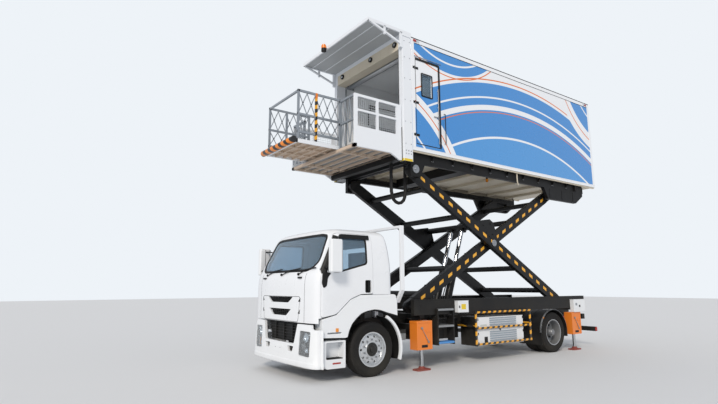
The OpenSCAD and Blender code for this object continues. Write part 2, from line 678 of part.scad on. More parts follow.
module rear_lamps() color("#a3201c") both_sides()
  block([rail_x[0] - 50, rail_x[0] + 80], [rail_y + seat, rail_y + 420], [rail_low, rail_low + 130]);

// An arm along +X from its first pivot
module arm(y) {
  block([0, arm_len], y, [-arm_h / 2, arm_h / 2]);
  for (x = [0, arm_len]) ybar(arm_h / 2, y, x, 0);
}

module arms_inner() color(black) translate([pivot_x, 0, pivot_z]) rotate([0, arm_tilt - 180, 0]) {
  both_sides() {
    arm([inner_arm_y - arm_t, inner_arm_y]);
    ybar(pin_r, [inner_arm_y - 1, track_out - 2], 0, 0);
    ybar(pin_r, [inner_arm_y - 1, outer_arm_y + 5], arm_len / 2, 0);
    ybar(pin_r, [inner_arm_y - 1, track_in + 10], arm_len, 0);
    ybar(roller_r, [track_in + 5, track_out - 20], arm_len, 0);
  }
  for (x = [500, 1600, arm_len - 1600, arm_len - 500])
    ybar(brace_r, [-inner_arm_y + arm_t - 1, inner_arm_y - arm_t + 1], x, 0);
}

module arms_outer() color(black) translate([centre_x, 0, centre_z]) rotate([0, -arm_tilt, 0]) {
  y = [outer_arm_y - arm_t, outer_arm_y];
  both_sides() {
    difference() {
      translate([-arm_len / 2, 0, 0]) arm(y);
      ybar(pin_r + pin_gap, [y[0] - 1, y[1] + 1], 0, 0);
    }
    ybar(pin_r, [outer_arm_y - 1, track_out - 2], arm_len / 2, 0);
    ybar(pin_r, [outer_arm_y - 1, track_in + 10], -arm_len / 2, 0);
    ybar(roller_r, [track_in + 5, track_out - 20], -arm_len / 2, 0);
    // Lever plates of the lift cylinders
    side_plate(lever_plate, [outer_arm_y - 30 - lever_t, outer_arm_y - 30]);
  }
  ybar(lever_r, [-outer_arm_y + 40, outer_arm_y - 40], bracket_u, bracket_v);
  for (x = [-arm_len / 2 + 600, -1100, 1100, arm_len / 2 - 600])
    ybar(brace_r, [-outer_arm_y + arm_t / 2, outer_arm_y - arm_t / 2], x, 0);
}

module cylinder_barrels() color(black) translate([eye[0], 0, eye[1]]) rotate([0, -rod_tilt, 0]) {
  ybar(pin_r, [-rail_in + 2, rail_in - 2], 0, 0);
  for (s = [-1, 1]) difference() {
    union() {
      ybar(80, [s * cylinder_y - 45, s * cylinder_y + 45], 0, 0);
      xbar(barrel_r, [40, barrel_len], s * cylinder_y, 0);
    }
    xbar(rod_r + pin_gap, [200, barrel_len + 1], s * cylinder_y, 0);
  }
}

// The rods end in pads that bear on the underside of the lever tube
module cylinder_rods() color("#c9ccd0") translate([eye[0], 0, eye[1]]) rotate([0, -rod_tilt, 0]) {
  top = rod_reach - lever_r - seat;
  for (s = [-1, 1]) {
    xbar(rod_r, [barrel_len - 60, top - 1], s * cylinder_y, 0);
    block([top - pad_t, top], [s * cylinder_y - pad_y, s * cylinder_y + pad_y], [-pad_h / 2, pad_h / 2]);
  }
}

// Beams right under the body's floor, with a hanger for the front pivots and a track for the rear rollers
module van_frame() color(black) {
  x = [van_x[0] + 490, van_x[1] - 20];
  under = upper_z + roller_r + seat;
  beam = [under, van_z - seat];
  both_sides() {
    block(x, [track_in, track_out], beam);
    difference() {
      side_plate([[pivot_x - 260, under + 1], [pivot_x - 130, beam_low], [x[1], beam_low], [x[1], under + 1]],
        [track_in, track_out]);
      ybar(pin_r + pin_gap, [track_in - 1, track_out + 1], pivot_x, upper_z);
    }
    difference() {
      side_plate([[roller_x[1] + 180, under + 1], [roller_x[1] + 20, beam_low], [roller_x[0] - 20, beam_low],
        [x[0], under - 60], [x[0], under + 1]], [track_in, track_out]);
      block(roller_x, [track_in - 1, track_out - 15], [beam_low + track_flange, under]);
    }
  }
  // Cross members, two of them deep at the front and one wide
  for (m = [van_x[1] - 80, van_x[1] - 205]) block([m - 40, m + 40], [-track_in - 1, track_in + 1], [beam_top - 1, beam[1]]);
  first = van_x[1] - 860;
  pitch = (first - x[0] - 350) / 6;
  for (i = [0:6]) let(m = first - i * pitch, wide = i == 1)
    block([m - (wide ? 160 : 40), m + (wide ? 160 : 40)], [-track_in - 1, track_in + 1], [wide ? beam_top - 1 : van_z - 70, beam[1]]);
  // Foot beam between the portal posts
  block(foot_x, [-post_y[0] + 5, post_y[0] - 5], [beam_top + 5, beam[1]]);
  both_sides() block([van_x[1] - 81, foot_x[0] + 1], [track_in - 70, track_in - 10], [beam_top + 5, beam[1]]);
}

module van_shell() color(white) difference() {
  block(van_x, [-van_y, van_y], [van_z, van_top]);
  block([van_x[0] + van_wall, van_x[1] + 1], [-van_y + van_wall, van_y - van_wall], [deck_floor, van_top - van_wall]);
  block([door_x[0] - door_gap, door_x[1] + seat], [van_y - van_wall - 1, van_y + 1],
    [door_low - door_gap, door_low + side_door_h + door_gap]);
  block([van_x[0] - 1, van_x[0] + van_wall + 1], [-shutter_y, shutter_y], [shutter_low, shutter_low + shutter_h]);
}

module side_door() color(white) difference() {
  block(door_x, [van_y - van_wall, van_y], [door_low, door_low + side_door_h]);
  block([door_x[0] + 230, door_x[1] - 170], [van_y - van_wall - 1, van_y + 1], [door_low + 1040, door_low + 1520]);
}

module rear_shutter() color("#c3c8cd") {
  block([van_x[0] + 10, van_x[0] + 40], [-shutter_y + seat, shutter_y - seat],
    [shutter_low + seat, shutter_low + shutter_h - seat]);
}
module rear_buffers() color(rubber) both_sides()
  block([van_x[0] - 50, van_x[0] - seat], [van_y - 450, van_y - 250], [van_z + 10, van_z + 90]);

module shutter_header() color(beige)
  block([post_x[0] + 10, post_x[1] - seat], [-post_y[0] + seat, post_y[0] - seat], [van_top - 300, van_top - crossbar_drop - seat]);

module portal() color(white) {
  both_sides() block([post_x[0] + seat, post_x[1]], post_y, [van_z - post_drop, van_top - 40]);
  block([post_x[0] + seat, post_x[1]], [-post_y[1], post_y[1]], [van_top - crossbar_drop, van_top - 40]);
}

module canopy() color(white) {
  x = [post_x[0] + seat, post_x[1] + canopy_reach];
  top = van_top + 75;
  block(x, [-van_y - 10, van_y + 10], [top - canopy_t, top]);
  block([x[0], post_x[1]], [-van_y - 10, van_y + 10], [van_top - 40 + seat, top - canopy_t + 1]);
  both_sides() {
    side_bar([post_x[1] + 20, van_top + 70 - truss_h], [x[1] - 30, top - 45], 40, [van_y - 29, van_y + 9]);
    block([post_x[1] + seat, post_x[1] + 60], [van_y - 30, van_y + 10], [van_top - truss_h, top - canopy_t + 1]);
    block([post_x[1] + 430, post_x[1] + 470], [van_y - 30, van_y + 10], [van_top - 150, top - canopy_t + 1]);
  }
  // Ribs under the roof
  for (d = [300, 630]) block([post_x[1] + d, post_x[1] + d + 20], [-van_y, van_y], [top - canopy_t - 12, top - canopy_t + 1]);
  // Beacon
  block([x[1] - 1, x[1] + 20], [-300, -200], [top - canopy_t + 5, top - 5]);
  zbar(55, [top - 120, top + 40], x[1] + 60, -250);
}

module platform() {
  color(beige) block(deck_x, [-deck_y, deck_y], [deck_z - deck_t, deck_z]);
  color(white) both_sides() {
    y = [deck_y - 40, deck_y];
    difference() {
      side_plate([[deck_x[0], deck_z - carriage_h], [deck_x[0] + 60, deck_z - carriage_h], [deck_x[0] + 280, deck_z - deck_t],
        [deck_x[1], deck_z - deck_t], [deck_x[1], deck_z + guard_h], [deck_x[0], deck_z + guard_h]], y);
      for (i = [0, 1]) for (z = [[kick_h, 620], [660, guard_h - 50]]) translate([deck_x[0] + 120 + i * 490, 0, 0])
        block([0, 440], [y[0] - 1, y[1] + 1], [deck_z + z[0], deck_z + z[1]]);
    }
    // Short front guard beside the sliding deck
    for (z = [450, guard_h - 40]) block([deck_x[1] - 40, deck_x[1]], [slide_y + 60, deck_y - 39], [deck_z + z, deck_z + z + 40]);
    block([deck_x[1] - 40, deck_x[1]], [slide_y + 60, slide_y + 100], [deck_z - 1, deck_z + guard_h]);
  }
  // Carriage that slides on the portal posts
  color(black) both_sides() block([post_x[1] + seat, deck_x[0] + 1], [post_y[0], deck_y], [deck_z - carriage_h, deck_z + 500]);
  color(black) block([deck_x[0], deck_x[0] + 120], [-deck_y + 41, deck_y - 41], [deck_z - carriage_h, deck_z - deck_t + 1]);
}

module sliding_deck() {
  color(white) block(slide_x, [-slide_y, slide_y], [slide_z, slide_top]);
  color(steel) both_sides() {
    y = [slide_y - 40, slide_y - 10];
    for (x = [slide_x[0] + 320, slide_x[1] - 440, slide_x[1] - 60])
      block([x, x + 40], y, [slide_top - 1, slide_top + lattice_h]);
    for (z = [120, 460, lattice_h - 40]) block([slide_x[0] + 320, slide_x[1] - 20], y, [slide_top + z, slide_top + z + 40]);
  }
  color(steel)
    block([slide_x[1] - 60, slide_x[1] - 30], [-slide_y + 10, slide_y - 10], [slide_top + lattice_h - 40, slide_top + lattice_h]);
}

module deck_buffer() color(orange) ybar(buffer_r, [-slide_y - 20, slide_y + 20], slide_x[1] + seat + buffer_r, slide_z + 40);

// Rings of the hose
function unit(v) = v / norm(v);
function hose_turn(i) = unit(hose_route[min(i + 1, len(hose_route) - 1)] - hose_route[max(i - 1, 0)]);
function hose_ring(i) = [for (k = [0:hose_sides - 1]) let(a = 360 * k / hose_sides, p = hose_route[i],
  t = i == 0 || i == len(hose_route) - 1 ? [0, i == 0 ? -1 : 1] : hose_turn(i))
  [p[0] - hose_r * cos(a) * t[1], hose_y + hose_r * sin(a), p[1] + hose_r * cos(a) * t[0]]];
module supply_hose() color(rubber) polyhedron(
  points = [for (i = [0:len(hose_route) - 1]) each hose_ring(i)],
  faces = concat([[for (k = [0:hose_sides - 1]) k]],
    [[for (k = [hose_sides - 1:-1:0]) (len(hose_route) - 1) * hose_sides + k]],
    [for (i = [0:len(hose_route) - 2]) for (k = [0:hose_sides - 1]) let(n = (k + 1) % hose_sides)
      [i * hose_sides + k, (i + 1) * hose_sides + k, (i + 1) * hose_sides + n, i * hose_sides + n]]));

chassis_frame();
lift_frame();
engine();
front_axle();
rear_axle();
drive_shaft();
cab_shell();
windscreen();
cab_interior();
grilles();
bumper();
headlamps();
cab_skirts();
mudguards();
wind_frame();
side_ladder();
control_boxes();
power_cabinet();
hazard_rail();
fuel_tank();
stabiliser_housings();
rear_lamps();
door_left();
door_right();
door_glass_left();
door_glass_right();
mirror_left();
mirror_right();
leg_front_left();
leg_front_right();
leg_rear_left();
leg_rear_right();
knuckle_left();
knuckle_right();
tyre_front_left();
tyre_front_right();
wheel_front_left();
wheel_front_right();
tyres_rear_left();
tyres_rear_right();
wheels_rear_left();
wheels_rear_right();
arms_inner();
arms_outer();
cylinder_barrels();
cylinder_rods();
van_frame();
van_shell();
side_door();
rear_shutter();
rear_buffers();
shutter_header();
portal();
canopy();
platform();
sliding_deck();
deck_buffer();
supply_hose();
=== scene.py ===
"""Aircraft catering truck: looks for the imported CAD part. Metres; X forward, Y to the left, Z up."""
import math

import bmesh
import bpy
from mathutils import Matrix, Vector


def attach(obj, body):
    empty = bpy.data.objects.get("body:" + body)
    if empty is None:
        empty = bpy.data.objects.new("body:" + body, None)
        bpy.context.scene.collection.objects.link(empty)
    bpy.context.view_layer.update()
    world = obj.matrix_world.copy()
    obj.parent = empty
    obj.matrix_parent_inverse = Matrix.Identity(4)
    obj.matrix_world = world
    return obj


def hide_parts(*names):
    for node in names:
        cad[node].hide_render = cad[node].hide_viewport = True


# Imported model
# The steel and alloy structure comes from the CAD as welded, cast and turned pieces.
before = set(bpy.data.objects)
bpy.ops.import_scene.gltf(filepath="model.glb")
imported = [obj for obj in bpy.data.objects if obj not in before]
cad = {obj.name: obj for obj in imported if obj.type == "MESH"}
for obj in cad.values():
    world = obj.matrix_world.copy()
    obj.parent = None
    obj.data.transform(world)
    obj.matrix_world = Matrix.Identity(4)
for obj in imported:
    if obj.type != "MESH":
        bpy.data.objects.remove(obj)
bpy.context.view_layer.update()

# Camera
# The height of a standing person's eyes, off the truck's left front corner, with a wide lens.
# The place and the angles come from the truck's own edges in the photograph.
camera = bpy.data.objects.new("camera", bpy.data.cameras.new("camera"))
bpy.context.scene.collection.objects.link(camera)
bpy.context.scene.camera = camera
camera.data.lens, camera.data.sensor_width = 24.72, 36
camera.data.clip_end = 200
heading, pitch, roll = math.radians(35.719), math.radians(9.687), math.radians(-0.162)
look = Vector((-math.sin(heading) * math.cos(pitch), -math.cos(heading) * math.cos(pitch), math.sin(pitch)))
camera.rotation_mode = "QUATERNION"
camera.rotation_quaternion = look.to_track_quat("-Z", "Y") @ Matrix.Rotation(roll, 4, "Z").to_quaternion()
camera.location = (8.519, 8.252, 1.555)


# Daylight studio
# A pale floor under a white backdrop, lit by an even sky and one broad, soft sun.
# The levels let a colour render about as it is written.
def linear(hex_colour):
    """An sRGB hex colour as linear red, green, blue and alpha."""
    parts = [int(hex_colour[i:i + 2], 16) / 255 for i in (1, 3, 5)]
    return [c / 12.92 if c < 0.04045 else ((c + 0.055) / 1.055) ** 2.4 for c in parts] + [1.0]


def add_node(tree, kind, links=(), **settings):
    """Adds a node; links pairs an input with a value or with another node's output."""
    made = tree.nodes.new(kind)
    for key, value in settings.items():
        setattr(made, key, value)
    for socket, value in dict(links).items():
        if isinstance(value, bpy.types.NodeSocket):
            tree.links.new(value, made.inputs[socket])
        else:
            made.inputs[socket].default_value = value
    return made


bpy.context.scene.view_settings.view_transform = "Standard"
world = bpy.data.worlds.new("sky")
bpy.context.scene.world = world
world.use_nodes = True
sky = world.node_tree
sky.nodes.clear()
rays = add_node(sky, "ShaderNodeLightPath")
seen = add_node(sky, "ShaderNodeMath", {0: rays.outputs["Is Camera Ray"], 1: rays.outputs["Is Transmission Ray"]},
                operation="MAXIMUM")
daylight = add_node(sky, "ShaderNodeBackground", {"Color": linear("#eef3fb"), "Strength": 0.7})
backdrop = add_node(sky, "ShaderNodeBackground", {"Color": linear("#eef3f8"), "Strength": 1.0})
sky_mix = add_node(sky, "ShaderNodeMixShader", {0: seen.outputs[0], 1: daylight.outputs[0], 2: backdrop.outputs[0]})
add_node(sky, "ShaderNodeOutputWorld", {0: sky_mix.outputs[0]})

sun = bpy.data.objects.new("sun", bpy.data.lights.new("sun", "SUN"))
bpy.context.scene.collection.objects.link(sun)
sun.data.energy, sun.data.angle = 2.0, math.radians(14)
sun.data.color = linear("#fff6ea")[:3]
sun.rotation_euler = Vector((-0.66, -0.55, -0.52)).to_track_quat("-Z", "Y").to_euler()

floor = bpy.data.objects.new("floor", bpy.data.meshes.new("floor"))
floor.data.from_pydata([(-60, -60, 0), (60, -60, 0), (60, 60, 0), (-60, 60, 0)], [], [(0, 1, 2, 3)])
bpy.context.scene.collection.objects.link(floor)
concrete = bpy.data.materials.new("pale_screed")
concrete.use_nodes = True
shader = concrete.node_tree.nodes["Principled BSDF"]
shader.inputs["Base Color"].default_value = linear("#d9dadb")
shader.inputs["Roughness"].default_value = 0.85
floor.data.materials.append(concrete)

# Supply hose
# Rubber hose that brings oil to the platform's cylinders and hangs in a loop under the body's front end.
# Its ends are pushed into sockets on two cross members; dust greys the lower side of the loop.
def mapped(tree, value, *limits):
    """A value carried from one range to another; the limits are two of the first, then two of the second."""
    return add_node(tree, "ShaderNodeMapRange", {0: value, **dict(enumerate(limits, 1))}).outputs[0]


def maths(tree, operation, *values):
    """The result of a sum or function of one or two values."""
    return add_node(tree, "ShaderNodeMath", dict(enumerate(values)), operation=operation).outputs[0]


def blended(tree, mask, first, second):
    """The first colour where the mask is 0, the second where it is 1."""
    return add_node(tree, "ShaderNodeMix", {0: mask, 6: first, 7: second}, data_type="RGBA").outputs[2]


def finish(name, colour, roughness, grain_mm, bump=0.1, metallic=0.0, coat=0.0, dust=0.25, dust_top=1.5,
           specular=0.5):
    """A surface with fine grain in its relief, uneven gloss, and road dust near the ground."""
    made = bpy.data.materials.new(name)
    made.use_nodes = True
    tree = made.node_tree
    shader = tree.nodes["Principled BSDF"]
    place = add_node(tree, "ShaderNodeTexCoord").outputs["Object"]
    broad = add_node(tree, "ShaderNodeTexNoise", {"Vector": place, "Scale": 2.3, "Detail": 6.0, "Roughness": 0.6})
    grain = add_node(tree, "ShaderNodeTexNoise", {"Vector": place, "Scale": 1000 / grain_mm, "Detail": 3.0})
    height = add_node(tree, "ShaderNodeSeparateXYZ", {0: place}).outputs["Z"]
    low = mapped(tree, height, 0.1, dust_top, dust, dust * 0.15)
    patch = mapped(tree, broad.outputs[0], 0.35, 0.7, 0.35, 1.3)
    film = add_node(tree, "ShaderNodeMath", {0: low, 1: patch}, operation="MULTIPLY", use_clamp=True).outputs[0]
    tree.links.new(blended(tree, film, linear(colour), linear("#8c8578")), shader.inputs["Base Color"])
    gloss = mapped(tree, broad.outputs[0], 0.3, 0.7, roughness * 0.82, min(roughness * 1.25, 1.0))
    tree.links.new(gloss, shader.inputs["Roughness"])
    relief = add_node(tree, "ShaderNodeBump", {"Strength": bump, "Distance": 0.001, "Height": grain.outputs[0]})
    tree.links.new(relief.outputs[0], shader.inputs["Normal"])
    for socket, value in (("Metallic", metallic), ("Specular IOR Level", specular), ("Coat Weight", coat),
                          ("Coat Roughness", 0.08)):
        shader.inputs[socket].default_value = value
    return made


def tube(path, radius, sides=14):
    """A round bar or pipe along a path of points, closed at both ends."""
    path = [Vector(p) for p in path]
    along = [(path[min(i + 1, len(path) - 1)] - path[max(i - 1, 0)]).normalized() for i in range(len(path))]
    side = along[0].orthogonal().normalized()
    points = []
    for centre, way in zip(path, along):
        side = (side - way * side.dot(way)).normalized()
        up = way.cross(side)
        points += [centre + radius * (side * math.cos(t) + up * math.sin(t))
                   for t in (2 * math.pi * k / sides for k in range(sides))]
    rings = range(len(path) - 1)
    faces = [(i * sides + k, i * sides + (k + 1) % sides, (i + 1) * sides + (k + 1) % sides, (i + 1) * sides + k)
             for i in rings for k in range(sides)]
    last = (len(path) - 1) * sides
    return points, faces + [tuple(range(sides)), tuple(range(last, last + sides))]


def joined(name, parts, smooth_deg=0):
    """One object made of parts, each given as a material and its list of solids."""
    mesh = bpy.data.meshes.new(name)
    metal = bmesh.new()
    for index, (material, solids) in enumerate(parts):
        mesh.materials.append(material)
        for points, faces in solids:
            corners = [metal.verts.new(p) for p in points]
            for face in faces:
                metal.faces.new([corners[i] for i in face]).material_index = index
    bmesh.ops.recalc_face_normals(metal, faces=metal.faces)
    for face in metal.faces:
        face.smooth = True
    for edge in metal.edges:
        edge.smooth = edge.calc_face_angle(math.pi) < math.radians(smooth_deg)
    metal.to_mesh(mesh)
    metal.free()
    piece = bpy.data.objects.new(name, mesh)
    bpy.context.scene.collection.objects.link(piece)
    return piece


def break_edges(piece, edge_mm, segments=2):
    """Rounds the sharp edges of a piece."""
    edges = piece.modifiers.new("edges", "BEVEL")
    edges.width, edges.segments = edge_mm / 1000, segments
    edges.limit_method, edges.angle_limit = "ANGLE", math.radians(38)
    edges.harden_normals = True


def fitted(name, body, parts, replaces=(), slot=None, edge_mm=2.0, smooth_deg=40, segments=2):
    """Joins parts into one piece that rides on a body and takes the place of CAD nodes."""
    piece = joined(name, parts, smooth_deg)
    if edge_mm:
        break_edges(piece, edge_mm, segments)
    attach(piece, body)
    if replaces:
        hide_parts(*replaces)
    return piece


HOSE_Y, HOSE_R = 0.75, 0.034
HOSE = [(2.325, 4.005), (2.325, 3.85), (2.325, 3.7), (2.325, 3.55), (2.323, 3.43), (2.305, 3.34), (2.27, 3.27),
        (2.21, 3.222), (2.14, 3.205), (2.07, 3.222), (2.01, 3.27), (1.975, 3.34), (1.957, 3.43), (1.955, 3.55),
        (1.955, 3.7), (1.955, 3.85), (1.955, 3.999)]
hose_path = [Vector((x, HOSE_Y, z)) for x, z in HOSE]
hose_rubber = finish("hose_rubber", "#161618", 0.6, 1.2, bump=0.25, dust=0.08, dust_top=4.5, specular=0.3)
hose = fitted("supply_hose_loop", "van", [(hose_rubber, [tube(hose_path, HOSE_R, 20)])], ["supply_hose"], "rubber", 0,
              60)


# Chassis, lift frame and rear underrun bar
# Folded and welded steel channel, sprayed with satin black chassis paint after welding.
# The paint shows a faint orange peel, broken edges, and road dust that thins out with height.
def coat_node(name, material, edge_mm=3.0):
    """Puts a finish on a CAD node and breaks its sharp edges."""
    piece = cad[name]
    piece.data.materials.clear()
    piece.data.materials.append(material)
    weld = piece.modifiers.new("weld", "WELD")
    weld.merge_threshold = 0.00005
    break_edges(piece, edge_mm)


chassis_paint = finish("chassis_paint", "#101113", 0.46, 3.0, bump=0.15, dust=0.14, specular=0.25)
for node_name in ("chassis_frame", "front_axle", "rear_axle", "lift_frame", "knuckle_left", "knuckle_right"):
    coat_node(node_name, chassis_paint)

# Engine and drive shaft
# A cast block under the cab floor, and a steel tube that runs back to the rear axle.
# Both are painted once over everything at the works, so they are even and slightly dusty.
cast_paint = finish("engine_enamel", "#5d6063", 0.55, 4.0, bump=0.3, dust=0.5)
coat_node("engine", cast_paint, 8)
coat_node("drive_shaft", cast_paint)


# Tyres
# Moulded black rubber, 275 mm wide, with ribbed treads in front and lugged treads behind.
# The walls are ringed by the mould; rubber is dull, and grey where road dust stays on it.
tyre_rubber = finish("tyre_rubber", "#141415", 0.74, 1.6, bump=0.25, dust=0.1, specular=0.25, dust_top=1.0)
TYRE_R, RIM_SEAT = 0.465, 0.2835


def turned(profile, centre, sides=96, notch=None):
    """A solid turned about a line along Y; the profile pairs a radius with a distance along it."""
    cx, cy, cz = centre
    points = []
    for k in range(sides):
        t = 2 * math.pi * k / sides
        for r, y in profile:
            r = notch(k, r, y) if notch else r
            points.append((cx + r * math.cos(t), cy + y, cz + r * math.sin(t)))
    n = len(profile)
    faces = [(k * n + i, k * n + (i + 1) % n, ((k + 1) % sides) * n + (i + 1) % n, ((k + 1) % sides) * n + i)
             for k in range(sides) for i in range(n)]
    return points, faces


def tyre(centre, lugged):
    """The tread's grooves run round the tyre, and each shoulder is cut across."""
    wall = [(RIM_SEAT, 0.116), (0.297, 0.127), (0.318, 0.1315), (0.32, 0.1345), (0.328, 0.1345), (0.33, 0.132),
            (0.365, 0.1365), (0.4, 0.136), (0.402, 0.138), (0.408, 0.1375), (0.41, 0.134), (0.43, 0.13),
            (0.447, 0.12), (0.455, 0.112)]
    tread = [(TYRE_R - 0.003, 0.106)]
    for g in (0.05,) if lugged else (0.07, 0.026):
        tread += [(TYRE_R, g + 0.006), (TYRE_R - 0.012, g + 0.004), (TYRE_R - 0.012, g - 0.004), (TYRE_R, g - 0.006)]
    half = wall + tread
    profile = half + [(r, -y) for r, y in reversed(half)]
    depth, width = (0.012, 0.054) if lugged else (0.006, 0.088)

    def notch(k, r, y):
        """The radius at a point of the tread; every fourth step round it is cut."""
        return r - depth if k % 4 == 0 and abs(y) > width and r > 0.44 else r
    return turned(profile, centre, 192 if lugged else 216, notch)


FRONT_X, REAR_X, WHEEL_Z = 3.12, -2.29, 0.465
FRONT_Y, TWIN_Y, TWIN_HALF = 1.012, 0.857, 0.155
SIDES = ("left", 1), ("right", -1)
for side, sign in SIDES:
    front = [tyre((FRONT_X, sign * FRONT_Y, WHEEL_Z), False)]
    twins = [tyre((REAR_X, sign * (TWIN_Y + s * TWIN_HALF), WHEEL_Z), True) for s in (-1, 1)]
    fitted("tyre_front_" + side, "front_wheel_" + side, [(tyre_rubber, front)], ["tyre_front_" + side], "tyre", 0, 30)
    fitted("tyres_rear_" + side, "rear_wheels_" + side, [(tyre_rubber, twins)], ["tyres_rear_" + side], "tyre", 0, 30)

# Wheels
# Dished steel discs pressed into rolled rims, sprayed silver, with ten nuts each.
# The spray is bright and fine-grained, the front hub's cap is black, and the nuts are bare steel. The rear wheels'
# darker silver is painted shade inside their dished discs, with road dust near the ground.
wheel_silver = finish("wheel_silver", "#d6d9dc", 0.28, 0.8, bump=0.05, metallic=0.75, dust=0.08, dust_top=0.9)
bare_steel = finish("bare_steel", "#a3a6aa", 0.34, 1.0, bump=0.1, metallic=0.9, dust=0.12)
# Darker silver for the rear wheels: painted shade inside the twin wheels' discs, plus road dust near the ground.
wheel_silver_painted_shade = finish("dusty_wheel_silver_and_painted_shade", "#8b8e92", 0.42, 1.2, bump=0.1, metallic=0.6, dust=0.3, dust_top=0.9)
cap_plastic = finish("hub_black", "#101112", 0.35, 1.5, dust=0.05)
NUT_RING = 0.1675


def wheel_nuts(centre, side, face, length):
    """Ten hexagon nuts on the disc, each with the stud's end standing out."""
    solids = []
    for k in range(10):
        t = 2 * math.pi * (k + 0.5) / 10
        x, z = centre[0] + NUT_RING * math.cos(t), centre[2] + NUT_RING * math.sin(t)
        y = side * (centre[1] + face)
        solids.append(tube([(x, y - side * 0.001, z), (x, y + side * length, z)], 0.0165, 6))
        solids.append(tube([(x, y, z), (x, y + side * (length + 0.012), z)], 0.01, 12))
    return solids


def disc_ring(profile, centre, side):
    """A ring turned about a wheel's axis; the profile pairs a radius with a distance outward."""
    return turned([(r, side * y) for r, y in profile], (centre[0], side * centre[1], centre[2]), 64)


for side, sign in SIDES:
    coat_node("wheel_front_" + side, wheel_silver, 1.5)
    # The rear wheels take the darker silver, which is painted shade.
    coat_node("wheels_rear_" + side, wheel_silver_painted_shade, 1.5)
    hub = (FRONT_X, FRONT_Y, WHEEL_Z)
    cap = [(0.0, 0.17), (0.05, 0.17), (0.062, 0.162), (0.066, 0.14), (0.1, 0.132), (0.112, 0.124), (0.118, 0.113),
           (0.118, 0.1), (0.0, 0.1)]
    flange = [(0.126, 0.096), (0.126, 0.104), (0.138, 0.104), (0.14, 0.096)]
    lip = [(0.279, 0.121), (0.298, 0.1265), (0.2985, 0.121), (0.284, 0.112)]
    fitted("wheel_fittings_front_" + side, "front_wheel_" + side,
           [(cap_plastic, [disc_ring(cap, hub, sign)]), (bare_steel, wheel_nuts(hub, sign, 0.095, 0.022)),
            (wheel_silver, [disc_ring(flange, hub, sign), disc_ring(lip, hub, sign)])], slot="wheel_silver",
           edge_mm=0.8)
    hub = (REAR_X, TWIN_Y, WHEEL_Z)
    drum = [(0.2, -0.1), (0.2, -0.21), (0.06, -0.21), (0.06, -0.1)]
    outer_lip = [(0.279, 0.276), (0.298, 0.2815), (0.2985, 0.276), (0.284, 0.267)]
    fitted("wheel_fittings_rear_" + side, "rear_wheels_" + side,
           [(bare_steel, wheel_nuts(hub, sign, 0.014, 0.026)), (chassis_paint, [disc_ring(drum, hub, sign)]),
            (wheel_silver, [disc_ring(outer_lip, hub, sign)])], slot="wheel_silver", edge_mm=0.8)

# Cab body
# Pressed steel panels, spot-welded, filled and sprayed gloss white, with 6 mm gaps round the doors.
# White enamel under a clear lacquer: smooth, with sharp highlights, and a little dust near the sills.
cab_enamel = finish("cab_enamel", "#eceff3", 0.3, 1.2, bump=0.03, coat=0.6, dust=0.12, dust_top=1.6)
black_trim = finish("black_trim_plastic", "#101113", 0.5, 1.2, bump=0.35, dust=0.06, specular=0.3)
CAB_Y, CAB_LOW = 1.19, 0.95
# Height, front face, rear face and half width of the cab, seen along the truck, from the front axle
CAB_LEVELS = [(CAB_LOW, 1.25, -0.43, 1.19), (1.15, 1.25, -0.43, 1.19), (1.4, 1.25, -0.428, 1.19),
              (1.6, 1.247, -0.426, 1.19), (1.73, 1.226, -0.424, 1.19), (1.83, 1.178, -0.422, 1.19),
              (2.0, 1.096, -0.415, 1.178), (2.25, 0.975, -0.385, 1.155), (2.42, 0.893, -0.352, 1.122),
              (2.49, 0.85, -0.325, 1.082), (2.54, 0.8, -0.29, 1.0), (2.575, 0.69, -0.22, 0.8),
              (2.593, 0.48, -0.08, 0.52), (2.6, 0.3, 0.05, 0.25)]


def box(lo, hi):
    """A block between two corners."""
    (a, b, c), (d, e, f) = lo, hi
    points = [(a, b, c), (d, b, c), (d, e, c), (a, e, c), (a, b, f), (d, b, f), (d, e, f), (a, e, f)]
    return points, [(0, 3, 2, 1), (4, 5, 6, 7), (0, 1, 5, 4), (1, 2, 6, 5), (2, 3, 7, 6), (3, 0, 4, 7)]


def plate(outline, axis, near, far):
    """A plate cut to an outline of two coordinates and thick along the named axis."""
    n = len(outline)
    place = {"x": lambda p, t: (t, p[0], p[1]), "y": lambda p, t: (p[0], t, p[1]), "z": lambda p, t: (p[0], p[1], t)}
    points = [place[axis](p, t) for t in (near, far) for p in outline]
    sides = [(i, (i + 1) % n, n + (i + 1) % n, n + i) for i in range(n)]
    return points, [tuple(range(n)), tuple(range(n, 2 * n))] + sides


def mirrored(part):
    """The like part on the vehicle's other side."""
    return [(p[0], -p[1], p[2]) for p in part[0]], [tuple(reversed(f)) for f in part[1]]


def both(*parts):
    """Each part of the left side and the like part of the right."""
    return [p for part in parts for p in (part, mirrored(part))]


def spline(points, steps):
    """Points along a smooth curve through the given ones."""
    made = []
    for i in range(len(points) - 1):
        a, b, c, d = (points[max(0, min(len(points) - 1, j))] for j in (i - 1, i, i + 1, i + 2))
        for s in range(steps):
            t = s / steps
            made.append(tuple(0.5 * (2 * q + (r - p) * t + (2 * p - 5 * q + 4 * r - w) * t * t
                                     + (3 * q - p - 3 * r + w) * t ** 3) for p, q, r, w in zip(a, b, c, d)))
    return made + [tuple(points[-1])]


def front_ring(half, z):
    """A level ring of points, given as its left half from the front axle."""
    return [(FRONT_X + x, y, z) for x, y in half] + [(FRONT_X + x, -y, z) for x, y in reversed(half[1:-1])]


def lofted(rings):
    """A form through rings of like points, closed at both ends."""
    n, points = len(rings[0]), [p for ring in rings for p in ring]
    faces = [(start + i, start + (i + 1) % n, start + n + (i + 1) % n, start + n + i)
             for start in range(0, len(points) - n, n) for i in range(n)]
    return points, faces + [tuple(range(n)), tuple(range(len(points) - n, len(points)))]


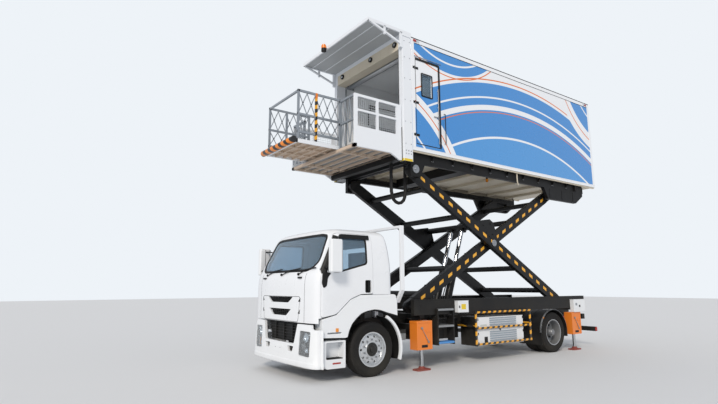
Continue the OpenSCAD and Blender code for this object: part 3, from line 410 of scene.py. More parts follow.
def cab_form(depth):
    """The cab's rounded form, drawn in from its skin by a distance."""
    rings = []
    for z, xf, xr, half in spline(CAB_LEVELS, 4):
        xf, xr, half = xf - depth, xr + depth, half - depth
        narrow = half / CAB_Y
        corner = [(xr, 0.0), (xr, half - 0.16), (xr + 0.012, half - 0.06), (xr + 0.05, half - 0.012),
                  (xr + 0.12, half), (xr + (xf - xr) * 0.4, half), (xf - 0.27, half), (xf - 0.17, half - 0.01),
                  (xf - 0.105, half - 0.05), (xf - 0.064, half - 0.14), (xf - 0.03, 0.8 * narrow),
                  (xf - 0.008, 0.45 * narrow), (xf, 0.0)]
        rings.append(front_ring(spline(corner, 3), z - depth * ((z - CAB_LOW) / 1.65 if z > CAB_LOW + 0.01 else 1)))
    return lofted(rings)


def kept_in(solid):
    """A cut that leaves only what lies inside a solid."""
    return "INTERSECT", solid


def shaped(solid, *cuts):
    """Cuts solids out of a solid, or trims it to those given by kept_in."""
    stock, tools = joined("stock", [(None, [solid])]), []
    for cut in cuts:
        operation, tool = cut if cut[0] == "INTERSECT" else ("DIFFERENCE", cut)
        tools.append(joined("tool", [(None, [tool])]))
        step = stock.modifiers.new("cut", "BOOLEAN")
        step.operation, step.solver, step.object = operation, "EXACT", tools[-1]
    made = bpy.data.meshes.new_from_object(stock.evaluated_get(bpy.context.evaluated_depsgraph_get()))
    result = [tuple(v.co) for v in made.vertices], [tuple(p.vertices) for p in made.polygons]
    for piece in [stock, *tools]:
        bpy.data.objects.remove(piece)
    return result


def rounded(outline, radius, steps=5):
    """The outline with each corner drawn to a curve."""
    made = []
    for i, corner in enumerate(outline if radius else []):
        here, before, after = Vector(corner), Vector(outline[i - 1]), Vector(outline[(i + 1) % len(outline)])
        r = min(radius, (before - here).length * 0.45, (after - here).length * 0.45)
        a, b = here + (before - here).normalized() * r, here + (after - here).normalized() * r
        made += [tuple((1 - t) ** 2 * a + 2 * t * (1 - t) * here + t * t * b)
                 for t in (k / steps for k in range(steps + 1))]
    return made or outline


def inset(outline, by):
    """The outline drawn in by a distance; it runs anticlockwise."""
    made = []
    for i, corner in enumerate(outline):
        p, a, b = Vector(corner), Vector(outline[i - 1]), Vector(outline[(i + 1) % len(outline)])
        u, v = (p - a).normalized(), (b - p).normalized()
        n, m = Vector((-u.y, u.x)), Vector((-v.y, v.x))
        made.append(tuple(p + (n + m) * by / max(1 + n.dot(m), 0.3)))
    return made


def rect(x0, z0, x1, z1):
    """A rectangle's outline, anticlockwise."""
    return [(x0, z0), (x1, z0), (x1, z1), (x0, z1)]


def from_axle(outline):
    """An outline seen from the side and measured from the front axle."""
    return [(FRONT_X + x, z) for x, z in outline]


def side_plate(outline, near, far, radius=0):
    """A plate along the cab's side, its outline measured from the front axle."""
    return plate(rounded(from_axle(outline), radius), "y", near, far)


def front_plate(outline, back, front, radius=0):
    """A plate across the cab's front, its depth measured from the front axle."""
    return plate(rounded(outline, radius), "x", FRONT_X + back, FRONT_X + front)


def front_box(lo, hi):
    """A block whose place along the truck is measured from the front axle."""
    return box((FRONT_X + lo[0], *lo[1:]), (FRONT_X + hi[0], *hi[1:]))


SKIN = 0.03
SILL = [(1.085, 1.044), (0.795, 1.095), (0.505, 1.34), (0.29, 1.42), (0.02, 1.425)]
DOOR = from_axle(SILL[::-1] + [(1.085, 1.83), (0.79, 2.44), (0.74, 2.465), (0.06, 2.465), (0.02, 2.4)])
WINDOW = from_axle([(0.13, 1.935), (0.76, 1.775), (0.975, 1.795), (0.962, 1.89), (0.709, 2.405), (0.13, 2.405)])
SCREEN = [(-0.81, 1.8), (0.81, 1.8), (0.96, 1.85), (1.05, 1.96), (1.05, 2.06), (0.985, 2.4), (0.94, 2.45),
          (0.8, 2.475), (-0.8, 2.475), (-0.94, 2.45), (-0.985, 2.4), (-1.05, 2.06), (-1.05, 1.96), (-0.96, 1.85)]
UPPER_SLOT = [(-0.33, 1.275), (0.33, 1.275), (0.49, 1.375), (-0.49, 1.375)]
LOWER_SLOT = [(-0.26, 1.05), (0.26, 1.05), (0.43, 1.165), (-0.43, 1.165)]
door_cut, window_cut = rounded(inset(DOOR, -0.006), 0.05), rounded(WINDOW, 0.06)
outside, inner = cab_form(0.0), cab_form(SKIN)
below = side_plate([(1.12, 0.8), (1.12, 1.03), (0.79, 1.1), (0.5, 1.345), (0.29, 1.425), (0.02, 1.425), (0.02, 1.41),
                    (-0.5, 1.41), (-0.5, 0.8)], 0.93, 1.3)
cab_cuts = [inner, *both(below), front_box((-1, -1.0, 0.8), (1.17, 1.0, 1.18)),
            *both(plate(door_cut, "y", 0.93, 1.3)), front_plate(SCREEN, 0.7, 1.5, 0.05),
            front_plate(rect(-0.6, 1.9, 0.6, 2.3), -0.6, -0.2, 0.08)]
cab_cuts += [front_plate(slot, 1.19, 1.35, 0.03) for slot in (UPPER_SLOT, LOWER_SLOT)]
floor_pan = shaped(cab_form(0.012), kept_in(front_box((-0.6, -1.0, 1.19), (1.3, 1.0, 1.25))))
fitted("cab_body", "chassis", [(cab_enamel, [shaped(outside, *cab_cuts)]), (chassis_paint, [floor_pan])],
       ["cab_shell"], "cab_white", 3)


# Doors
# Steel skins like the cab's, hung at their front edge, with a black rubber seal round each window.
# The glass is tinted and set back in its seal, and the handle is a black moulding in a recess.
def clear(name, colour, transmission, haze_scale, haze_detail, haze):
    """Clear glass or plastic with a faint, uneven haze."""
    made = bpy.data.materials.new(name)
    made.use_nodes = True
    tree = made.node_tree
    shader = tree.nodes["Principled BSDF"]
    for socket, value in (("Base Color", linear(colour)), ("Transmission Weight", transmission), ("IOR", 1.45)):
        shader.inputs[socket].default_value = value
    film = add_node(tree, "ShaderNodeTexNoise", {"Scale": haze_scale, "Detail": haze_detail})
    tree.links.new(mapped(tree, film.outputs[0], 0.0, 1.0, 0.02, haze), shader.inputs["Roughness"])
    return made


def on_skin(area, out=0.0009, depth=0.004, *cuts, form=cab_form):
    """What lies inside a solid of a thin layer on a form's skin, from a height over it to a depth under it."""
    return shaped(form(-out), form(depth), kept_in(area), *cuts)


def fitted_pair(name, body, parts, replaces="", *more, **named):
    """Fits the like piece on both sides; a name ends in its side, and so does a body or node that ends in _."""
    for side, flip in (("left", lambda part: part), ("right", mirrored)):
        nodes = [replaces + side] if replaces.endswith("_") else [replaces] if replaces and side == "left" else []
        fitted(name + side, body + side if body.endswith("_") else body,
               [(material, [flip(p) for p in solids]) for material, solids in parts], nodes, *more, **named)


window_glass = clear("tinted_glass", "#a9c3d6", 0.86, 3.0, 4.0, 0.07)
rubber_seal = finish("rubber_seal", "#121314", 0.65, 1.0, dust=0.1)
skin = shaped(outside, inner, kept_in(plate(rounded(DOOR, 0.05), "y", 0.93, 1.3)), plate(window_cut, "y", 0.8, 1.4),
              side_plate(rect(0.055, 1.44, 0.19, 1.66), 1.155, 1.3, 0.03))
seal = on_skin(plate(window_cut, "y", 0.8, 1.4), -0.004, 0.026,
               plate(rounded(inset(WINDOW, 0.028), 0.05), "y", 0.8, 1.4))
door_pane = on_skin(plate(window_cut, "y", 0.93, 1.3), -0.012, 0.018)
trim = [side_plate(rect(0.062, 1.447, 0.183, 1.653), 1.14, 1.15, 0.025),
        side_plate(rect(0.085, 1.46, 0.12, 1.64), 1.15, 1.183, 0.015)]
mirror_foot = [(0.9, 1.775), (0.965, 1.7), (0.985, 1.56), (1.05, 1.52), (1.078, 1.6), (1.06, 1.8)]
front_strip = [(0.985, 1.765), (1.08, 1.765), (1.08, 1.835), (0.79, 2.434), (0.711, 2.405), (0.964, 1.89),
               (0.977, 1.795)]
visor = [(0.075, 2.372), (0.722, 2.372), (0.7, 2.442), (0.66, 2.452), (0.075, 2.452)]
trim += [on_skin(side_plate(mirror_foot, 0.95, 1.3, 0.03), 0.006, 0.01),
         on_skin(side_plate(front_strip, 0.95, 1.3), 0.003, 0.01),
         on_skin(side_plate(visor, 0.9, 1.3, 0.02), 0.016, -0.0005)]
fitted_pair("door_skin_", "door_", [(cab_enamel, [skin])], "door_", "cab_white", 2.5)
fitted_pair("door_glass_pane_", "door_", [(window_glass, [door_pane])], "door_glass_", "glass", 0)
fitted_pair("door_trim_", "door_", [(rubber_seal, [seal]), (black_trim, trim)], slot="dark_plastic")


# Windscreen and wipers
# One curved laminated pane, bonded in with a black printed border, and three black wipers.
# The border is a dull ceramic print, and the arms are pressed steel in black.
def screen_x(z, y):
    """How far forward the cab's face is at a height, off the middle by y."""
    for (z0, x0, *_), (z1, x1, *_) in zip(CAB_LEVELS, CAB_LEVELS[1:]):
        if z <= z1:
            return FRONT_X + x0 + (x1 - x0) * (z - z0) / (z1 - z0) - 0.045 * (y / 0.9) ** 2


pane = on_skin(front_plate(inset(SCREEN, 0.003), 0.7, 1.5, 0.05), -0.008, 0.014)
fitted("windscreen_pane", "chassis", [(window_glass, [pane])], ["windscreen"], "glass", 0)
wipers = [on_skin(front_plate(SCREEN, 0.7, 1.5, 0.05), -0.002, 0.02,
                  front_plate(inset(SCREEN, 0.045), 0.6, 1.6, 0.08))]
for foot_y, tip_y in ((0.62, 1.02), (0.02, 0.56), (-0.6, -0.08)):
    foot = (screen_x(1.76, foot_y) + 0.014, foot_y, 1.76)
    joint = (screen_x(1.84, tip_y - 0.22) + 0.03, tip_y - 0.22, 1.845)
    blade = [(screen_x(1.8 + 0.05 * t, tip_y - 0.46 + 0.5 * t) + 0.016, tip_y - 0.46 + 0.5 * t, 1.815 + 0.05 * t)
             for t in (k / 6 for k in range(7))]
    wipers += [tube([(foot[0] - 0.03, foot_y, 1.75), (foot[0] + 0.02, foot_y, 1.768)], 0.022, 16),
               tube([foot, joint], 0.008, 8), tube(blade, 0.01, 8)]
fitted("windscreen_trim", "chassis", [(black_trim, wipers)], slot="dark_plastic", edge_mm=0)


# Cab front
# A pressed panel that hinges up, with two slots backed by a black moulded grille.
# The gaps round it are 6 mm wide and read as thin dark lines.
panel = [(-0.665, 0.955), (0.665, 0.955), (0.725, 1.385), (-0.725, 1.385)]
moulded = [on_skin(front_plate(panel, 1.13, 1.35, 0.05), 0.0009, 0.004,
                   front_plate(inset(panel, 0.008), 1.05, 1.45, 0.045))]
moulded += both(on_skin(front_plate(rect(0.845, 0.96, 0.852, 1.78), 1.05, 1.35)),
                on_skin(front_plate([(0.655, 1.1), (0.715, 1.09), (0.722, 1.17)], 1.15, 1.35)),
                on_skin(front_plate([(0.66, 1.3), (0.728, 1.29), (0.735, 1.37)], 1.15, 1.35)),
                front_box((1.195, 0.635, 1.69), (1.236, 0.745, 1.718)))
for slot, lines in ((UPPER_SLOT, (1.3, 1.325, 1.35)), (LOWER_SLOT, (1.075, 1.105, 1.135))):
    (low_half, low), (high_half, high) = slot[1], slot[2]
    moulded.append(front_plate(inset(slot, -0.008), 1.192, 1.198))
    for z in lines:
        half = low_half + (high_half - low_half) * (z - low) / (high - low)
        moulded.append(front_plate(rect(-half, z - 0.004, half, z + 0.004), 1.195, 1.22))
    moulded += [front_box((1.195, y - 0.003, low + 0.005), (1.216, y + 0.003, high - 0.005))
                for y in [k * 0.08 for k in range(-4, 5)] if abs(y) < low_half]
moulded.append(front_plate([(-0.52, 0.6), (0.52, 0.6), (0.6, 0.915), (-0.6, 0.915)], 1.075, 1.12))
for z in (0.64, 0.69, 0.74, 0.79, 0.84, 0.885):
    moulded.append(front_box((1.115, -0.53 - (z - 0.6) * 0.2, z - 0.006), (1.145, 0.53 + (z - 0.6) * 0.2, z + 0.006)))
moulded += [front_box((1.115, y - 0.012, 0.61), (1.15, y + 0.012, 0.905)) for y in (-0.32, 0.0, 0.32)]
fitted("grille_mouldings", "chassis", [(black_trim, moulded)], ["grilles"], "dark_plastic", 1.0)

# Bumper
# A moulded plastic shell painted white, in one piece with the lamp towers, stepped above its lip.
# Slightly softer gloss than the steel; the blank plate and its two screws sit in the middle.
bumper_paint = finish("painted_plastic", "#eceff2", 0.34, 1.5, bump=0.05, coat=0.45, dust=0.1, dust_top=0.9)
BUMPER_LEVELS = [(0.236, 1.262, 1.19), (0.246, 1.272, 1.197), (0.262, 1.2745, 1.1995), (0.312, 1.2745, 1.1995),
                 (0.326, 1.262, 1.19), (0.56, 1.257, 1.188), (0.925, 1.24, 1.182)]


def bumper_form(depth):
    """The bumper's form, drawn in from its skin by a distance."""
    rings = []
    for z, xf, half in BUMPER_LEVELS:
        xf, half = xf - depth, half - depth
        lift = depth * (0.5 if z > 0.9 else -0.5 if z < 0.24 else 0)
        corner = [(1.072, 0.0), (1.072, half - 0.03), (1.082, half - 0.004), (1.12, half - 0.003),
                  (1.165, half - 0.03), (xf - 0.052, half - 0.12), (xf - 0.027, 0.86), (xf - 0.01, 0.5), (xf, 0.0)]
        rings.append(front_ring(spline(corner, 4), z + lift))
    return lofted(rings)


def on_side(outline, s):
    """The front's outline as it is for the left, or turned over for the right, where s is -1."""
    return [(s * y, z) for y, z in outline][::s]


LAMP = [(0.715, 0.425), (1.03, 0.412), (1.04, 0.815), (0.735, 0.822)]
TOWER_OUT = [(1.02, 0.945), (1.05, 0.88), (1.13, 0.845), (1.3, 0.845), (1.3, 1.05), (1.02, 1.05)]
LIP_SLOT = [(0.345, 0.55), (0.365, 0.462), (0.505, 0.462), (0.545, 0.55)]
PLATE_X = FRONT_X + 1.257
bumper_cuts = [front_plate([(-0.555, 0.595), (0.555, 0.595), (0.665, 1.0), (-0.665, 1.0)], 1.0, 1.5, 0.04),
               front_box((1.0, -1.1, 0.3), (1.14, 1.1, 0.95))]
for s in (1, -1):
    bumper_cuts += [front_plate(on_side(LAMP, s), 1.1, 1.5, 0.03), front_plate(on_side(TOWER_OUT, s), 0.9, 1.5),
                    front_plate(on_side(LIP_SLOT, s), 1.1, 1.5, 0.02)]
bumper = shaped(bumper_form(0.0), bumper_form(0.05), *bumper_cuts)
blank_plate = plate(rounded(rect(-0.2, 0.405, 0.2, 0.52), 0.012), "x", PLATE_X, PLATE_X + 0.005)
screws = [tube([(PLATE_X, y, 0.49), (PLATE_X + 0.009, y, 0.49)], 0.008, 10) for y in (-0.09, 0.09)]
brackets = both(front_box((1.15, 0.315, 0.44), (1.17, 0.575, 0.57)),
                front_box((1.04, 0.35, 0.47), (1.21, 0.43, 0.56)))
fitted("bumper_shell", "chassis",
       [(bumper_paint, [bumper, blank_plate]), (bare_steel, screws), (chassis_paint, brackets)], ["bumper"],
       "body_white", 3)

# Headlamps
# Clear polycarbonate lenses over bright reflectors, with a fog lamp under each main lamp.
# The lens is glossy and clear, the bowls are vacuum-metallised, and the housing behind is black.
lens_clear = clear("lamp_polycarbonate", "#eef4f8", 0.9, 14.0, 2.0, 0.12)
reflector = finish("metallised_reflector", "#d7dade", 0.12, 6.0, metallic=1.0, dust=0.05)
amber_lens = finish("amber_lens", "#e8912a", 0.12, 3.0, coat=0.5, dust=0.05)


def bowl(x, y, z, radius, depth):
    """A reflector dish that faces forward, placed from the front axle."""
    rings = [(radius, 0.0), (radius * 0.96, 0.0), (radius * 0.8, -depth * 0.55), (radius * 0.45, -depth * 0.9),
             (0.0, -depth), (0.0, -depth - 0.006), (radius, -depth * 0.6)]
    points, faces = turned(rings, (0, 0, 0), 32)
    return [(FRONT_X + x + p[1], y + p[0], z + p[2]) for p in points], faces


for side, s in SIDES:
    lamp = on_side(LAMP, s)
    lamp_in = inset(lamp, 0.004)
    cover = on_skin(front_plate(lamp_in, 1.1, 1.5, 0.03), -0.006, 0.01, form=bumper_form)
    bezel = on_skin(front_plate(lamp_in, 1.1, 1.5, 0.03), -0.012, 0.04,
                    front_plate(inset(lamp, 0.022), 1.0, 1.5, 0.03), form=bumper_form)
    back = front_plate(lamp_in, 1.105, 1.112, 0.03)
    divider = front_box((1.11, s * 0.875 - 0.145, 0.598), (1.19, s * 0.875 + 0.145, 0.622))
    bowls = [bowl(1.178, s * 0.862, 0.712, 0.082, 0.055), bowl(1.165, s * 0.972, 0.765, 0.038, 0.03),
             bowl(1.165, s * 0.862, 0.51, 0.05, 0.035)]
    indicator = front_box((1.12, s * 0.972 - 0.028, 0.445), (1.15, s * 0.972 + 0.028, 0.58))
    fitted("headlamp_lens_" + side, "chassis", [(lens_clear, [cover])], ["headlamps"] if s > 0 else [], "lamp_clear",
           0)
    fitted("headlamp_insides_" + side, "chassis",
           [(black_trim, [back, bezel, divider]), (reflector, bowls), (amber_lens, [indicator])], slot="dark_plastic",
           edge_mm=1.0)

# Steps and wheel arches
# White moulded panels bolted under the doors: an arch over the wheel and a box with two footholds.
# The same painted plastic as the bumper, with black rubber along the arch's edge and grip on the treads.
LIP = [(-0.54, 1.03), (-0.3, 1.09), (-0.16, 1.132), (-0.02, 1.15), (0.14, 1.13), (0.27, 1.09), (0.38, 1.01),
       (0.47, 0.92), (0.53, 0.81), (0.56, 0.71)]
ARCH = [(0.6, 0.7), (1.035, 0.72), (1.062, 0.79), (1.062, 1.018), (0.79, 1.078), (0.5, 1.323), (0.29, 1.403),
        (-0.45, 1.408), (-0.5, 1.395), (-0.535, 1.28), *LIP]
STEP = [(0.602, 0.222), (0.97, 0.222), (1.05, 0.3), (1.058, 0.665), (0.602, 0.665)]
white_parts = [shaped(side_plate(ARCH, 0.95, 1.185), side_plate(rect(0.68, 0.775, 0.96, 0.8), 1.1, 1.3, 0.01)),
               shaped(side_plate(STEP, 0.95, 1.187, 0.02),
                      side_plate(rect(0.64, 0.372, 0.985, 0.64), 1.04, 1.3, 0.03))]
crease = spline([(1.062, 0.985), (0.8, 1.035), (0.52, 1.27), (0.31, 1.345), (-0.5, 1.35)], 3)
white_parts.append(side_plate([(x, z - 0.004) for x, z in crease] + [(x, z + 0.004) for x, z in reversed(crease)],
                              1.18, 1.1875))
lip_line = spline(LIP, 3)
rubber_parts = [front_box((0.65, 1.045, 0.372), (0.975, 1.18, 0.384)),
                *(front_box((0.66 + 0.03 * k, 1.05, 0.384), (0.675 + 0.03 * k, 1.175, 0.39)) for k in range(10)),
                side_plate([(x, z - 0.001) for x, z in lip_line] + [(x - 0.004, z - 0.022) for x,
                                                                    z in reversed(lip_line)], 1.02, 1.189)]
red_lens = finish("red_lens", "#a8231c", 0.15, 3.0, coat=0.5, dust=0.1)
fitted_pair("step_panel_", "chassis",
            [(bumper_paint, white_parts), (black_trim, rubber_parts),
             (chassis_paint, [front_box((0.82, 0.4303, 0.7), (0.88, 0.951, 0.76))]),
             (amber_lens, [front_box((0.745, 1.184, 0.805), (0.8, 1.193, 0.865))]),
             (red_lens, [front_box((0.7, 1.186, 0.292), (0.86, 1.1915, 0.318))])], "cab_skirts", "body_white", 3)

# Mirrors
# White moulded shells on black tube arms, with flat mirror glass facing back.
# The shell is painted plastic; the glass is silvered and slightly tinted.
silvered = finish("silvered_glass", "#b9c3c9", 0.04, 30.0, bump=0.0, metallic=1.0, dust=0.04)
arms = [tube([(FRONT_X + x, y, z) for x, y, z in path], radius, 10) for path, radius in (
    (((1.03, 1.1875, 1.875), (1.03, 1.26, 1.86), (0.985, 1.335, 1.865)), 0.013),
    (((0.845, 1.158, 2.245), (0.87, 1.24, 2.26), (0.93, 1.335, 2.26)), 0.013),
    (((0.93, 1.33, 1.8), (0.93, 1.33, 2.31)), 0.012))]
fitted_pair("mirror_shell_", "door_", [(bumper_paint, [front_box((0.822, 1.32, 1.78), (1.045, 1.43, 2.33))])],
            "mirror_", "body_white", 28, 50, 5)
fitted_pair("mirror_fittings_", "door_",
            [(black_trim, arms), (silvered, [front_plate(rect(1.335, 1.8, 1.415, 2.31), 0.812, 0.823)])],
            slot="dark_plastic", edge_mm=1.0)

# Cab interior
# Two cloth seats, a moulded dashboard and the steering wheel, dark behind the tinted glass.
# The cloth is woven at about 2 mm and the mouldings are grained.
seat_cloth = finish("seat_cloth", "#b4b9c1", 0.9, 2.0, bump=0.5, dust=0.0)
coat_node("cab_interior", seat_cloth, 25)


# Mudguards
# Pressed black plastic over the twin wheels with a rolled lip, and a white quarter guard behind each front wheel.
# The plastic is grained and dusty; small marker lamps sit at the rear guard's corners.
def ring(centre_x, r_in, r_out, start, stop, near, far, steps=28):
    """A curved plate about a wheel's axis, between two radii and two angles in degrees."""
    turn = [math.radians(start + (stop - start) * k / steps) for k in range(steps + 1)]
    outline = [(centre_x + r * math.cos(t), WHEEL_Z + r * math.sin(t))
               for r, angles in ((r_in, turn), (r_out, reversed(turn))) for t in angles]
    return plate(outline, "y", near, far)


def rear_box(lo, hi):
    """A block whose place along the truck is measured from the rear axle."""
    return box((REAR_X + lo[0], *lo[1:]), (REAR_X + hi[0], *hi[1:]))


alloy_strip = finish("anodised_strip", "#b9bcc0", 0.3, 1.0, metallic=0.85, dust=0.3)
guards = both(ring(REAR_X, 0.505, 0.515, -8, 172, 0.54, 1.165), ring(REAR_X, 0.505, 0.53, -8, 172, 1.14, 1.165),
              ring(REAR_X, 0.505, 0.53, -8, 172, 0.54, 0.556), ring(REAR_X, 0.514, 0.52, 20, 160, 0.8, 0.84),
              rear_box((0.506, 0.54, 0.2), (0.516, 1.165, 0.535)),
              rear_box((-0.53, 0.54, 0.345), (-0.501, 1.165, 0.545)),
              rear_box((-0.03, 0.43, 0.85), (0.03, 0.545, 0.91)), rear_box((-0.03, 0.52, 0.85), (0.03, 0.545, 0.99)))
quarter = both(ring(FRONT_X, 0.6, 0.612, 118, 200, 0.87, 1.139), ring(FRONT_X, 0.6, 0.645, 118, 200, 0.87, 0.882),
               front_box((-0.59, 0.43, 0.73), (-0.56, 0.875, 0.78)))
fitted("rear_guards", "chassis",
       [(black_trim, guards), (alloy_strip, both(ring(REAR_X, 0.5302, 0.5345, 2, 166, 1.13, 1.166))),
        (red_lens, both(rear_box((-0.43, 1.1652, 0.8), (-0.4, 1.175, 0.83)))),
        (amber_lens, both(rear_box((0.4, 1.1652, 0.8), (0.43, 1.175, 0.83))))], ["mudguards"], "dark_plastic", 1.5)
fitted("front_guards", "chassis",
       [(black_trim, quarter), (bumper_paint, both(ring(FRONT_X, 0.598, 0.648, 118, 200, 1.14, 1.185)))],
       slot="dark_plastic", edge_mm=1.5)


# Chassis fittings
# Air tanks, battery crate, exhaust silencer, brake pipes and brackets bolted along the rails.
# The tanks and crate are painted with the chassis; the silencer and clamps are bare steel.
def spaced(start, pitch, count):
    """Evenly spaced numbers."""
    return [start + pitch * k for k in range(count)]


def pin(x, z, near, far, radius, sides=6):
    """A round or hexagonal bar across the truck, from one distance off its middle to another."""
    return tube([(x, near, z), (x, far, z)], radius, sides)


RAIL_Y = 0.4303
tanks, steel_parts = [], []
for x0 in (0.95, -1.55):
    tanks.append(tube([(x0 + d, -0.62, 0.66) for d in (0, 0.02, 0.6, 0.62)], 0.115, 28))
    steel_parts += [tube([(x0 + d, -0.62, 0.66), (x0 + d + 0.02, -0.62, 0.66)], 0.118, 28) for d in (0.12, 0.46)]
    tanks += [box((x0 + d, -0.52, 0.66), (x0 + d + 0.04, -RAIL_Y, 0.8)) for d in (0.11, 0.45)]
crate = [box((1.66, RAIL_Y, 0.5), (1.74, 0.56, 0.9)), box((0.5, RAIL_Y, 0.48), (1.08, 0.7, 0.88)),
         box((0.52, 0.7003, 0.5), (1.06, 0.712, 0.86))]
crate += [box((x, 0.7118, 0.52), (x + 0.04, 0.722, 0.84)) for x in spaced(0.56, 0.12, 5)]
silencer = [tube([(x, -0.6, 0.55) for x in (2.02, 2.04, 2.56, 2.58)], 0.13, 28),
            tube([(2.03, -0.6, 0.55), (1.88, -0.6, 0.53), (1.7, -0.6, 0.45), (1.55, -0.6, 0.38)], 0.045, 16)]
pipes = [tube([(x, s * 0.4365, 0.735 + 0.022 * k + 0.004 * math.sin(3 * x + k)) for x in spaced(-3.9, 0.13, 60)],
              0.006, 8) for k in range(4) for s in (1, -1)]
clips = [box((x, s * RAIL_Y - 0.004, 0.715), (x + 0.02, s * RAIL_Y + 0.016, 0.825)) for x in spaced(-3.7, 0.75, 10)
         for s in (1, -1)]
rail_bolts = [pin(x, 0.89, s * 0.4298, s * 0.439, 0.011) for x in spaced(-3.95, 0.42, 19) for s in (1, -1)]
fitted("chassis_gear", "chassis", [(chassis_paint, tanks + crate + rail_bolts), (bare_steel, steel_parts + silencer),
                                   (black_trim, pipes + clips)], slot="frame_black", edge_mm=2)
bar_ends = [box((-4.2003, s * 1.148 - 0.01, 0.395), (-4.128, s * 1.148 + 0.0105, 0.495)) for s in (1, -1)]
fitted("bar_caps", "chassis", [(red_lens, bar_ends)], slot="lamp_red", edge_mm=2)

# Wind frame behind the cab
# Square steel tube, welded at mitred corners and painted white, stood on the chassis rails.
# It takes the same enamel as the cab, with black rubber feet.
coat_node("wind_frame", cab_enamel, 6)
FOOT_X, FOOT_Y = 2.48, 0.3875
feet = [box((FOOT_X - 0.05, s * FOOT_Y - 0.055, 0.9402), (FOOT_X + 0.05, s * FOOT_Y + 0.055, 0.953)) for s in (1, -1)]
feet += [tube([(FOOT_X + dx, s * FOOT_Y + dy, z) for z in (0.95, 0.966)], 0.009, 6)
         for s in (1, -1) for dx in (-0.034, 0.034) for dy in (-0.048, 0.048)]
fitted("wind_frame_feet", "chassis", [(chassis_paint, feet)], slot="frame_black", edge_mm=1)

# Ladder and control boxes
# A black welded ladder with three folded treads, grey on top, and two white sheet boxes on the lift frame.
# The lowest tread carries a blue wear strip; the boxes have overlapping lids, hinges and a blank yellow plate.
coat_node("side_ladder", chassis_paint, 2)
tread_grey = finish("worn_aluminium", "#a4a8ac", 0.45, 2.5, bump=0.5, metallic=0.7, dust=0.4)
blue_strip = finish("blue_paint", "#3f8fd6", 0.35, 1.5, coat=0.3, dust=0.2)
treads, strips = [], []
for low, near, target in ((0.45, 1.037, strips), (0.76, 1.037, treads), (1.075, 1.153, treads)):
    target += [box((1.139, near, low + 0.0352), (1.561, 1.2005, low + 0.039)),
               box((1.139, 1.2003, low + 0.004), (1.561, 1.2035, low + 0.039))]
    target += [box((x, near + 0.006, low + 0.039), (x + 0.02, 1.196, low + 0.0425)) for x in spaced(1.15, 0.042, 10)]
fitted("ladder_treads", "chassis", [(tread_grey, treads), (blue_strip, strips)], slot="steel", edge_mm=0.8)
box_white = finish("sheet_enamel", "#e6e9ec", 0.36, 1.5, bump=0.08, coat=0.3, dust=0.1)
label_yellow = finish("yellow_vinyl", "#e3c52b", 0.4, 2.0, dust=0.1)
patch_grey = finish("grey_vinyl", "#8d949b", 0.45, 2.0, dust=0.1)
coat_node("control_boxes", box_white, 5)
BOX_FACE, LID_FACE = 1.2503, 1.2535
lids = [plate(rect(*corners), "y", near, far) for near, far, corners in (
    (1.1503, BOX_FACE, (0.744, 1.2552, 1.056, 1.2625)), (1.1503, BOX_FACE, (-3.546, 1.2102, -3.034, 1.2175)),
    (BOX_FACE, LID_FACE, (0.762, 1.042, 1.038, 1.243)), (BOX_FACE, LID_FACE, (-3.528, 0.925, -3.29, 1.197)),
    (BOX_FACE, LID_FACE, (-3.284, 0.925, -3.052, 1.197)))]
catches = [plate(rect(*corners), "y", LID_FACE, 1.263)
           for corners in ((1.01, 1.12, 1.03, 1.165), (-3.312, 1.03, -3.295, 1.08), (-3.279, 1.03, -3.262, 1.08))]
glands = [tube([(0.8 + 0.07 * k, 1.2, 1.031), (0.8 + 0.07 * k, 1.2, 1.008), (0.8 + 0.065 * k, 1.19, 0.985),
                (0.82 + 0.06 * k, 1.158, 0.965)], 0.011, 10) for k in range(3)]
fitted("box_lids", "chassis", [(box_white, lids), (black_trim, catches + glands),
                               (label_yellow, [plate(rect(0.835, 1.09, 0.965, 1.195), "y", LID_FACE, 1.2545)]),
                               (patch_grey, [plate(rect(-3.19, 1.07, -3.11, 1.13), "y", LID_FACE, 1.2545)])],
       slot="cab_white", edge_mm=0.8)

# Power cabinet
# A black sheet-steel cabinet between the wheels, with two white louvred doors, a latch box and a black base.
# The louvres are pressed out of the door and stand 13 mm proud.
coat_node("power_cabinet", chassis_paint, 6)
cabinet = [plate(rect(*corners), "y", 1.1652, far) for *corners, far in (
    (-1.092, 0.655, 0.412, 0.902, 1.1685), (-1.092, 0.338, 0.412, 0.62, 1.1685), (-1.098, 0.626, 0.418, 0.65, 1.172))]
cabinet.append(box((-1.099, 1.1651, 0.3315), (0.419, 1.1662, 0.9085)))


def louvres(x0, x1, z0, count, pitch=0.044, reach=0.013):
    """A field of pressed louvres on the cabinet's door."""
    return [([(x, y, h) for x in (x0, x1) for y, h in ((1.168, z), (1.1685 + reach, z), (1.168, z + pitch * 0.62))],
             [(0, 1, 2), (5, 4, 3), (0, 3, 4, 1), (1, 4, 5, 2), (2, 5, 3, 0)]) for z in spaced(z0, pitch, count)]


louvre_grey = finish("louvre_enamel", "#8f9ba6", 0.4, 1.5, bump=0.08, dust=0.08)
fields = louvres(-0.85, 0.04, 0.69, 5) + louvres(-0.85, 0.04, 0.366, 6)
fixtures = [box((0.12, 1.1684, 0.385), (0.215, 1.178, 0.505)), pin(-0.29, 0.638, 1.17, 1.19, 0.016, 16),
            box((-1.1, 0.72, 0.3252), (0.42, 1.15, 0.3298))]
fixtures += [box((x, 1.1684, z), (x + 0.016, 1.176, z + 0.05)) for x in (-1.088, 0.392)
             for z in (0.36, 0.55, 0.68, 0.84)]
blank_grey = finish("blank_plate_grey", "#c9d0cf", 0.4, 2.0, dust=0.1)
fitted("cabinet_doors", "chassis", [(box_white, cabinet), (louvre_grey, fields), (black_trim, fixtures),
                                    (blank_grey, [box((0.13, 1.1684, 0.72), (0.33, 1.1697, 0.76))])],
       slot="cab_white", edge_mm=0.7)


